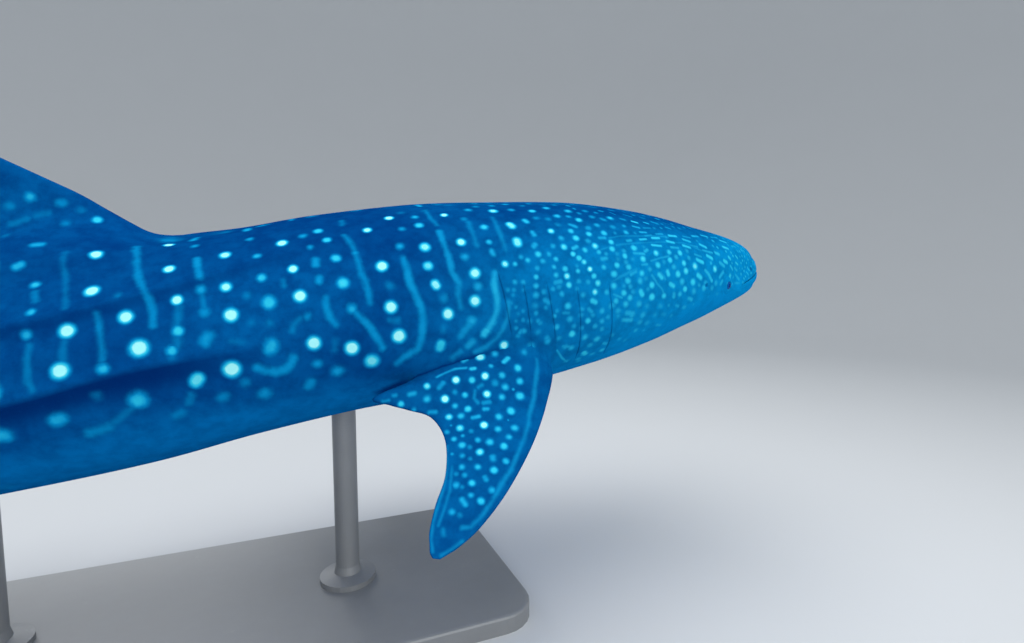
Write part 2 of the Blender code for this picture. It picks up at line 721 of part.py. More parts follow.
def build_eyes(head):
    for name, side in (("eye_right", -1), ("eye_left", 1)):
        on_skin, way = eye_place(side)
        middle = on_skin - way * EYE_SUNK
        rim = eye_rim(on_skin - way * 0.002, way)
        grown = EYE_RADIUS + JOINT_GAP
        socket = ball("socket_cutter", middle, (grown, grown, grown), way, "skin", helper=True)
        apply_boolean(head, rim, "UNION")
        apply_boolean(head, socket, "DIFFERENCE")
        for helper in (rim, socket):
            bpy.data.objects.remove(helper, do_unlink=True)
        ball(name, middle, (EYE_RADIUS,) * 3, way, "eye")


def build_nostrils(head):
    """A shallow cup in each front corner of the upper lip, with a small barbel at its inner edge."""
    forward, left, up = spine_frame(0.0)[1:]
    angle = column_angles(SNOUT_START)[int(NOSTRIL_PLACE * SEAM)]
    for side in (-1, 1):
        place = snout_point(NOSTRIL_PLACE, angle, side, 1, 0.88)
        inward = snout_point(NOSTRIL_PLACE - 0.06, angle, side, 1, 0.90)
        way = (forward - up * 0.25 + left * (side * 0.6)).normalized()
        cup = ball("nostril_cutter", place, NOSTRIL_RADII, way, "skin", helper=True, rings=8, segments=12)
        seat = inward - up * 0.010
        barbel = ball("barbel", seat, BARBEL_RADII, up, "skin", helper=True, rings=8, segments=10)
        apply_boolean(head, cup, "DIFFERENCE")
        apply_boolean(head, barbel, "UNION")
        for helper in (cup, barbel):
            bpy.data.objects.remove(helper, do_unlink=True)


def build_base():
    mesh = bmesh.new()
    bmesh.ops.create_cube(mesh, size=1.0)
    bmesh.ops.scale(mesh, vec=BASE_SIZE, verts=mesh.verts)
    bmesh.ops.translate(mesh, vec=(0.0, 0.0, 0.5 * BASE_SIZE[2]), verts=mesh.verts)
    upright = [edge for edge in mesh.edges if abs(edge.verts[0].co.z - edge.verts[1].co.z) > 0.01]
    bmesh.ops.bevel(mesh, geom=upright, offset=BASE_CORNER, segments=6, affect="EDGES", profile=0.5)
    top = [edge for edge in mesh.edges if min(vert.co.z for vert in edge.verts) > 0.99 * BASE_SIZE[2]]
    bmesh.ops.bevel(mesh, geom=top, offset=BASE_EDGE, segments=2, affect="EDGES", profile=0.5)
    return to_object("stand_base", mesh, "stand")


def build_rod(name, station, cutter):
    """A round rod with a foot flange, turned from its profile and cut to the belly."""
    centre = spine_frame(station)[0]
    floor = BASE_SIZE[2] + JOINT_GAP
    profile = ((0.0, floor), (FLANGE_RADIUS, floor), (FLANGE_RADIUS, floor + FLANGE_HEIGHT),
               (ROD_RADIUS * 1.15, floor + FLANGE_HEIGHT * 1.6), (ROD_RADIUS, floor + FLANGE_HEIGHT * 3.0),
               (ROD_RADIUS, centre.z), (0.0, centre.z))
    mesh = bmesh.new()
    verts = [mesh.verts.new((centre.x + radius, centre.y, height)) for radius, height in profile]
    edges = [mesh.edges.new(pair) for pair in zip(verts[:-1], verts[1:])]
    bmesh.ops.spin(mesh, geom=verts + edges, cent=(centre.x, centre.y, 0.0), axis=(0.0, 0.0, 1.0),
                   angle=2.0 * math.pi, steps=ROUND_SIDES, use_merge=True)
    bmesh.ops.remove_doubles(mesh, verts=mesh.verts[:], dist=0.0001)
    rod = to_object(name, mesh, "stand")
    apply_boolean(rod, cutter, "DIFFERENCE")


def main():
    clear_scene()
    head = build_head()
    build_body_nodes()
    cutter = build_body_cutter()
    build_nostrils(head)
    build_eyes(head)
    for name, side in (("pectoral_fin_right", -1), ("pectoral_fin_left", 1)):
        build_pectoral(name, side, cutter)
    build_first_dorsal(cutter)
    for name, station, angle, side, base, height in SMALL_FINS:
        build_small_fin(name, station, angle, side, base, height, cutter)
    build_caudal("caudal_fin_upper", UPPER_LOBE_EDGES, 1, cutter)
    build_caudal("caudal_fin_lower", LOWER_LOBE_EDGES, -1, cutter)
    build_base()
    for name, station in ROD_STATIONS:
        build_rod(name, station, cutter)
    bpy.data.objects.remove(cutter, do_unlink=True)


main()
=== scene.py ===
"""Skin, eyes, stand finish and studio of a life-size still whale shark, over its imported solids.

The skin is one closed piece that replaces every solid of flesh. It is made from the same measures as the
solids, only finer: a grid wrapped round the body and drawn in to the mouth, with the fins joined on. Its
spots and stripes are shapes with soft edges. Each face knows the two marks nearest to it.

Metres, +Z up, head towards +X, the animal's right side towards -Y. Stations are shares of the total
length, counted back from the snout. Angles run from 0 on the back to 180 on the belly.
"""
import math

import bpy
import numpy as np
from bpy.props import FloatProperty, FloatVectorProperty, IntProperty, PointerProperty
from mathutils import Matrix, Vector
from mathutils.bvhtree import BVHTree
from mathutils.geometry import barycentric_transform
from mathutils.kdtree import KDTree


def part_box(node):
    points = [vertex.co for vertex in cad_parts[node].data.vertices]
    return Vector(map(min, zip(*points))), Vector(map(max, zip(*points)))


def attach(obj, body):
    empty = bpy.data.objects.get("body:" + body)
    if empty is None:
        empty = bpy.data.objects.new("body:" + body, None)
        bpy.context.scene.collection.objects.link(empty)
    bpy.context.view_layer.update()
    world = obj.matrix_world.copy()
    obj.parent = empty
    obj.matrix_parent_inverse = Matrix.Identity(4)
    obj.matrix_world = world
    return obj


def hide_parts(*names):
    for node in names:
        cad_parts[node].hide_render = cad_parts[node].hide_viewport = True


bl_info = {
    "name": "Whale Shark Model",
    "version": (1, 0, 0),
    "blender": (4, 5, 0),
    "location": "View3D > Sidebar > Whale Shark",
    "description": "Builds the skin, eyes, stand finish and studio of a whale shark model",
    "category": "Object",
}

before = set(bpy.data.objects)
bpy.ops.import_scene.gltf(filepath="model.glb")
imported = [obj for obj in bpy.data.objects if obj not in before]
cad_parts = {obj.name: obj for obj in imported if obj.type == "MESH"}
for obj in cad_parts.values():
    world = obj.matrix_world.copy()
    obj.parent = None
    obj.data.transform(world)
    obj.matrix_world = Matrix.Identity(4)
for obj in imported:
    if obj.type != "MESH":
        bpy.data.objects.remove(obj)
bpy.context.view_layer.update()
FLESH_NODES = [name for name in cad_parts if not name.startswith(("eye_", "stand_"))]
EYE_NODES = ("eye_right", "eye_left")
STAND_NODES = ("stand_base", "stand_rod_front", "stand_rod_rear")
EYE_RADIUS = 0.5 * max(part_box("eye_right")[1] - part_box("eye_right")[0])

# Camera, as the picture was taken: place, heading from +Y towards +X, and downward tilt in degrees
CAMERA_PLACE = (0.27, -2.698, 1.5574)
CAMERA_HEADING = 22.97
CAMERA_DIP = 5.066
PICTURE_SIZE = (1024, 643)
FOCAL_PIXELS = 555.4
SENSOR_WIDTH = 36.0
# How far outside the picture a place still counts as seen, in pixels
VIEW_MARGIN = 10.0
# Steps in which the floor bends up into the wall
WALL_STEPS = 14

# Pose and proportions, as in the solids
TOTAL_LENGTH = 6.5
SNOUT_HEIGHT = 1.68
SNOUT_AHEAD_OF_ORIGIN = 2.69
CLIMB = 9.5
SPINE_YAW = ((0.0, 1.1), (0.2, -4.3), (0.45, 0.0), (0.7, 2.5), (0.85, 6.0), (1.0, 9.0))
SPINE_PITCH = ((0.0, -0.4), (0.2, -2.7), (0.45, 0.0), (1.0, 0.0))
SPINE_PIVOT = 0.45
SPINE_STEPS = 400

# Body sections: station, half width, back above the axis, belly below it, fullness of the section
SECTIONS = (
    (0.035, 0.0632, 0.0345, 0.0318, 2.5),
    (0.06, 0.072, 0.0425, 0.038, 2.5),
    (0.088, 0.0801, 0.0528, 0.0432, 2.45),
    (0.117, 0.0856, 0.0612, 0.0496, 2.4),
    (0.164, 0.09, 0.0705, 0.0577, 2.3),
    (0.21, 0.0905, 0.0745, 0.062, 2.25),
    (0.28, 0.0882, 0.078, 0.0604, 2.2),
    (0.34, 0.0866, 0.077, 0.0588, 2.15),
    (0.4, 0.0837, 0.0728, 0.0596, 2.15),
    (0.455, 0.0798, 0.0712, 0.062, 2.1),
    (0.54, 0.0691, 0.068, 0.0585, 2.1),
    (0.62, 0.0535, 0.056, 0.0492, 2.1),
    (0.7, 0.0374, 0.0395, 0.0363, 2.1),
    (0.76, 0.0265, 0.0285, 0.0265, 2.1),
    (0.805, 0.018, 0.021, 0.02, 2.1),
    (0.835, 0.0105, 0.0165, 0.0135, 2.0),
    (0.862, 0.0022, 0.008, 0.005, 2.0),
)

# Three ridges on each flank, with a hollow below each: angle, and height in metres
UPPER_RIDGE = ((0.0, 26.0), (0.42, 26.0), (0.6, 30.0), (0.86, 34.0))
MIDDLE_RIDGE = (
    (0.0, 50.0), (0.28, 48.0), (0.33, 45.0), (0.41, 53.0), (0.5, 60.0), (0.62, 64.0), (0.86, 66.0),
)
LOWER_RIDGE = (
    (0.0, 99.0), (0.06, 97.0), (0.14, 90.0), (0.37, 87.0), (0.44, 86.0), (0.52, 90.0), (0.86, 90.0),
)
UPPER_HEIGHT = ((0.4, 0.0), (0.52, 0.012), (0.66, 0.01), (0.74, 0.0))
MIDDLE_HEIGHT = ((0.28, 0.0), (0.38, 0.009), (0.46, 0.013), (0.62, 0.015), (0.76, 0.0))
LOWER_HEIGHT = ((0.375, 0.0), (0.44, 0.016), (0.62, 0.022), (0.76, 0.03), (0.82, 0.026), (0.85, 0.0))
CREST_HEIGHT = ((0.17, 0.0), (0.28, 0.006), (0.37, 0.008), (0.42, 0.022), (0.45, 0.022), (0.52, 0.0))
# The back rises in a broad saddle under the first dorsal fin
SADDLE_HEIGHT = (
    (0.422, 0.0), (0.44, 0.03), (0.455, 0.065), (0.47, 0.095), (0.5, 0.125), (0.56, 0.11), (0.65, 0.0),
)
SADDLE_HALF_WIDTH = 42.0
RIDGE_ABOVE = 10.0
RIDGE_BELOW = 5.5
# The ridges grow broader on the tail: from where, over what length, and by how much
TAIL_RIDGE_START = 0.56
TAIL_RIDGE_SPAN = 0.18
TAIL_RIDGE_SPREAD = 1.6
HOLLOW_HALF_WIDTH = 8.0
CREST_HALF_WIDTH = 9.0
RIDGE_HOLLOW = 0.55
HOLLOW_OFFSET = 8.6

# The wrap: columns on one side between back, ridges and belly, and the rings along the body
RIDGE_COLUMNS = (13, 14, 25, 52)
SEAM = sum(RIDGE_COLUMNS[:3])
HALF = sum(RIDGE_COLUMNS)
SNOUT_START = 0.064
GILLS_END = 0.252
BODY_END = 0.862
HEAD_SPACING = 0.002
TRUNK_SPACING = 0.0045
SNOUT_STEPS = 26
SNOUT_CROWDING = 1.2
LIP_STATION = -0.004
LIP_STEPS = (0.12, 0.34, 0.64, 1.0)

# Mouth
MOUTH_HALF_WIDTH = 0.0635
MOUTH_CORNER = 0.056
SNOUT_REACH = 0.017
MOUTH_BLUNTNESS = 3.0
MOUTH_HEIGHT = -0.0035
MOUTH_DROOP = 0.0075
LIP_GAP = 0.0006
LIP_ROLL = 0.0016
MOUTH_DEPTH = 0.006
# How strongly the skin runs on from the head ring, and from the lip at the mouth's corner and middle
SNOUT_PULL = 1.1
LIP_PULL = (0.7, 1.3)
SNOUT_FULLNESS = 0.036
CHIN_FULLNESS = 0.03
# Across a lip: share of the way to the mouth's edge, and height in metres
LIP_SWELL = ((0.7, 0.0), (0.82, -0.003), (0.9, 0.0035), (0.97, 0.004), (1.0, 0.0))

# Gill slits: station, lean, and the angles of the upper and lower end
GILL_SLITS = (
    (0.1655, 0.0012, 82.0, 134.0),
    (0.1885, 0.0012, 82.0, 130.0),
    (0.208, 0.0035, 78.0, 126.0),
    (0.224, 0.002, 77.0, 116.0),
    (0.2375, 0.004, 70.0, 110.0),
)
# Across a slit: station from its edge, and height in metres
GILL_PROFILE = (
    (-0.0042, 0.0), (-0.002, 0.0008), (-0.0009, 0.0014), (-0.0003, 0.0014),
    (-0.0001, 0.0006), (0.0001, -0.0014), (0.0002, -0.0034), (0.0004, -0.004),
    (0.0006, -0.003), (0.0011, -0.0012), (0.0024, -0.0003), (0.0054, 0.0),
)
GILL_FADE = 6.0
GILL_LEAN_START = 0.155
GILL_LEAN_SPAN = 30.0
# Depth at which a gill slit's painted shade is full
GILL_DARK_DEPTH = 0.012
END_CAP = 0.0005

# Where the pale belly begins, and how softly
BELLY_BORDER = (
    (-0.03, 97.0), (0.03, 99.0), (0.06, 103.0), (0.1, 110.0), (0.15, 123.0), (0.19, 131.0), (0.25, 126.0),
    (0.3, 121.0), (0.37, 118.0), (0.42, 113.0), (0.5, 116.0), (0.62, 120.0), (0.86, 124.0),
)
BELLY_FADE = 13.0
# How far the painted light on the head and shoulder reaches: station, and share
HEAD_SHARE = (
    (0.035, 1.0), (0.075, 0.8), (0.13, 0.8), (0.17, 0.66), (0.2, 0.48), (0.25, 0.3), (0.285, 0.08),
    (0.32, 0.0),
)

# Eye and nostril: distance from the middle as modelled, distance and height after shaping, in eye radii
EYE_STATION = 0.056
EYE_ANGLE = 99.0
EYE_SUNK = 0.016
EYE_FOLD = (
    (0.0, 0.0, -1.66), (0.3, 0.52, -1.52), (0.52, 0.86, -1.16), (0.68, 1.012, -0.66), (0.77, 0.97, -0.34),
    (0.83, 0.9, -0.14), (0.88, 0.81, 0.0), (0.93, 0.76, 0.07), (1.0, 0.8, 0.13), (1.12, 0.98, 0.18),
    (1.3, 1.25, 0.19), (1.55, 1.54, 0.13), (1.75, 1.75, 0.0), (1.92, 1.92, -0.04), (2.15, 2.15, 0.0),
    (2.4, 2.4, 0.0),
)
NOSTRIL_PLACE = 0.82
NOSTRIL_ROW = 0.88
NOSTRIL_RADIUS = 0.015
NOSTRIL_DEPTH = 0.013
NOSTRIL_RIM = 0.0035
BARBEL_ASIDE = 0.07
BARBEL_ROW = 0.93
BARBEL_RADIUS = 0.012
BARBEL_HEIGHT = 0.008
SPIRACLE_STATION = 0.083
SPIRACLE_ANGLE = 93.0
SPIRACLE_RADIUS = 0.011
SPIRACLE_DEPTH = 0.01
SPIRACLE_RIM = 0.002

# Fins: leading and trailing edge in pairs from root to tip, as (aft, out) from the front of the root
PECTORAL_ROOT = ((0.209, 124.0), (0.292, 120.0))
PECTORAL_DROOP = 38.0
PECTORAL_EDGES = (
    ((-0.006, -0.022), (0.07, -0.022)),
    ((-0.002, 0.0), (0.084, 0.0)),
    ((0.001, 0.012), (0.1155, 0.0125)),
    ((0.006, 0.022), (0.1075, 0.0188)),
    ((0.012, 0.032), (0.0975, 0.0243)),
    ((0.0195, 0.044), (0.0855, 0.032)),
    ((0.031, 0.06), (0.0808, 0.0485)),
    ((0.0438, 0.075), (0.0852, 0.07)),
    ((0.0585, 0.09), (0.0938, 0.086)),
    ((0.0745, 0.103), (0.0996, 0.099)),
    ((0.0865, 0.11), (0.101, 0.106)),
    ((0.093, 0.1125), (0.1016, 0.11)),
    ((0.0975, 0.114), (0.1008, 0.1128)),
)
# Swell of a pectoral fin's upper face at its root: out from the root, and share of the thickness
PECTORAL_SWELL = ((-0.022, 2.3), (0.0, 2.1), (0.012, 1.3), (0.026, 0.4), (0.045, 0.0))
FIRST_DORSAL_STATION = 0.43
# The same swell on both faces of the first dorsal fin, where the back rises into it
DORSAL_SWELL = ((-0.022, 6.0), (-0.004, 4.2), (0.006, 2.4), (0.015, 1.0), (0.028, 0.25), (0.045, 0.0))
FIRST_DORSAL_EDGES = (
    ((-0.006, -0.022), (0.092, -0.022)),
    ((0.0, -0.002), (0.107, -0.008)),
    ((0.013, 0.007), (0.136, 0.001)),
    ((0.026, 0.0185), (0.14, 0.006)),
    ((0.038, 0.0295), (0.121, 0.014)),
    ((0.053, 0.0408), (0.109, 0.027)),
    ((0.072, 0.0548), (0.106, 0.042)),
    ((0.089, 0.067), (0.109, 0.057)),
    ((0.104, 0.078), (0.116, 0.072)),
    ((0.115, 0.0845), (0.122, 0.082)),
)
SMALL_FIN_EDGES = (
    ((-0.1, -0.45), (0.9, -0.45)),
    ((0.0, 0.0), (1.05, 0.0)),
    ((0.14, 0.14), (1.62, 0.06)),
    ((0.32, 0.32), (1.6, 0.16)),
    ((0.55, 0.52), (1.28, 0.36)),
    ((0.8, 0.72), (1.24, 0.62)),
    ((1.04, 0.9), (1.3, 0.86)),
    ((1.18, 0.98), (1.3, 0.97)),
)
# Small fins: name, station, angle, side, base length, height
SMALL_FINS = (
    ("second_dorsal", 0.69, 0.0, 0, 0.034, 0.034),
    ("anal", 0.705, 180.0, 0, 0.03, 0.032),
    ("pelvic_right", 0.53, 140.0, -1, 0.036, 0.05),
    ("pelvic_left", 0.53, 140.0, 1, 0.036, 0.05),
)
CAUDAL_FRAME = 0.84
# From the tip of the upper lobe down to the tip of the lower one
CAUDAL_EDGES = (
    ((0.987, 0.174), (0.99, 0.1715)),
    ((0.975, 0.169), (0.983, 0.162)),
    ((0.953, 0.155), (0.97, 0.141)),
    ((0.926, 0.134), (0.953, 0.115)),
    ((0.898, 0.109), (0.939, 0.088)),
    ((0.868, 0.082), (0.922, 0.062)),
    ((0.84, 0.056), (0.908, 0.04)),
    ((0.815, 0.034), (0.896, 0.022)),
    ((0.797, 0.018), (0.888, 0.009)),
    ((0.792, 0.0), (0.884, 0.0)),
    ((0.814, -0.017), (0.885, -0.011)),
    ((0.825, -0.031), (0.885, -0.024)),
    ((0.838, -0.048), (0.886, -0.042)),
    ((0.853, -0.067), (0.889, -0.062)),
    ((0.868, -0.083), (0.892, -0.08)),
    ((0.881, -0.093), (0.893, -0.0915)),
)
FIN_EDGE = 0.006
FIN_THICKNESS = {"pectoral": 0.062, "dorsal": 0.066, "small": 0.024, "caudal": 0.048}
# Rows and columns of points on each kind of fin
FIN_GRIDS = {"pectoral": (64, 57), "dorsal": (54, 49), "small": (26, 33), "caudal": (90, 45)}
FOIL_FORWARD_SKEW = 0.62
FOIL_BLUNTNESS = 0.8

# Patches of the skin's map: left, bottom, right, top
PATCHES = {
    "body": (0.004, 0.004, 0.996, 0.64),
    "pectoral_right": (0.004, 0.655, 0.2, 0.996),
    "pectoral_left": (0.21, 0.655, 0.406, 0.996),
    "caudal": (0.416, 0.655, 0.612, 0.996),
    "first_dorsal": (0.622, 0.655, 0.78, 0.996),
    "second_dorsal": (0.79, 0.655, 0.89, 0.82),
    "anal": (0.79, 0.83, 0.89, 0.996),
    "pelvic_right": (0.9, 0.655, 0.996, 0.82),
    "pelvic_left": (0.9, 0.83, 0.996, 0.996),
}

# Names of the fins in the order of their sheet numbers: two sheets to a fin, the body is sheet 0
FIN_NAMES = ("pectoral_right", "pectoral_left", "first_dorsal", "second_dorsal", "anal", "pelvic_right",
             "pelvic_left", "caudal")
LARGE_FINS = ("pectoral_right", "pectoral_left", "first_dorsal", "caudal")
SHEETS = {name: 1 + 2 * k for k, name in enumerate(FIN_NAMES)}
MAP_NAME = "OFBake"
MERGE_DISTANCE = 0.00005
ROOT_REACH = 0.09
ROOT_SMOOTHING = 0.6
ROOT_PASSES = 45
ROOT_BLENDS = 60
SMALL_ROOT_REACH = 0.016
# How near a pectoral fin's rear lobe the root's painted shade line is full, and where it ends
LOBE_NEAR = 0.18
LOBE_FAR = 0.42

# Painted shade: in the hollow under each ridge by height, darkness and reach in degrees, and along a pectoral
# fin's root and beside its lobe
HOLLOW_SHADES = ((MIDDLE_RIDGE, MIDDLE_HEIGHT, 0.6, 9.0), (LOWER_RIDGE, LOWER_HEIGHT, 1.0, 17.0))
# How much of the head's painted light the upper head loses as painted shade, leaving a lighter painted band
# along its very top
HEAD_TOP_SHADE = 0.88
# Darker back: partly the animal's own darker top, partly painted shade against the light from overhead
BACK_SHADE = 0.38
ROOT_SHADE_REACH = 0.03
LOBE_SHADE_REACH = 0.03
# Share of the head's painted light on each fin, where it isn't nought
FIN_HEAD_LIGHT_SHARES = {"pectoral_right": 0.2, "pectoral_left": 0.2, "caudal": 0.1}
# How much narrower the head's small marks are than they look, and how much dimmer stripes are than spots
HEAD_SHRINK = 0.17
STRIPE_LIGHT = 0.92
# Largest shift of a twin against its seen mark, in rows and columns
TWIN_SHIFT = 0.9

# Where the picture doesn't show the pattern: station, and radius of spots, gap between them, body radius
PATTERN_SEED = 11
NEIGHBOURS = 10
HEAD_TRIES = 14000
HEAD_END = 0.27
HEAD_ANGLES = 125.0
FIN_TRIES = 900
# Upright rows of spots: first and last station, and spacing
SPOT_ROWS = (0.262, 0.858, 0.0135)
# In mark radii: from how far on a mark doesn't count, and the place given where there is no mark
FAR = 90.0
NO_MARK = (9.0, 9.0, 0.0)
# From what slope to the camera a place counts as seen, and how dim a spot is that shows beyond that
SEEN_SLOPE = 0.17
EDGE_TONE = 0.45
# Faint spots between the seen ones: their size, gap and brightness as shares of a hidden spot's
FAINT_SIZE = 0.8
FAINT_GAP = 0.85
FAINT_TONE = 0.42
FAINT_FINS = {"pectoral_right": 0.34, "pectoral_left": 0.34}
SPOT_SIZES = ((0.0, 0.0085), (0.045, 0.0095), (0.07, 0.012), (0.16, 0.015), (0.24, 0.019), (0.3, 0.029),
              (0.42, 0.038), (0.55, 0.039), (0.66, 0.03), (0.76, 0.02), (0.86, 0.013))
SPOT_GAPS = ((0.0, 0.022), (0.045, 0.026), (0.07, 0.036), (0.16, 0.042), (0.24, 0.075), (0.3, 0.12),
             (0.42, 0.155), (0.55, 0.15), (0.66, 0.11), (0.76, 0.07), (0.86, 0.045))
GIRTHS = ((0.24, 0.52), (0.42, 0.5), (0.55, 0.42), (0.66, 0.28), (0.76, 0.17), (0.86, 0.08))
# Spots on fins: fin, radius, gap, and which faces
FIN_SPOTS = (
    ("first_dorsal", 0.026, 0.085, (0, 1)),
    ("pectoral_left", 0.018, 0.06, (1,)),
    ("pectoral_right", 0.018, 0.06, (1,)),
    ("caudal", 0.02, 0.062, (0, 1)),
    ("second_dorsal", 0.013, 0.05, (0, 1)),
    ("anal", 0.012, 0.05, (0, 1)),
    ("pelvic_right", 0.015, 0.055, (1,)),
    ("pelvic_left", 0.015, 0.055, (1,)),
)

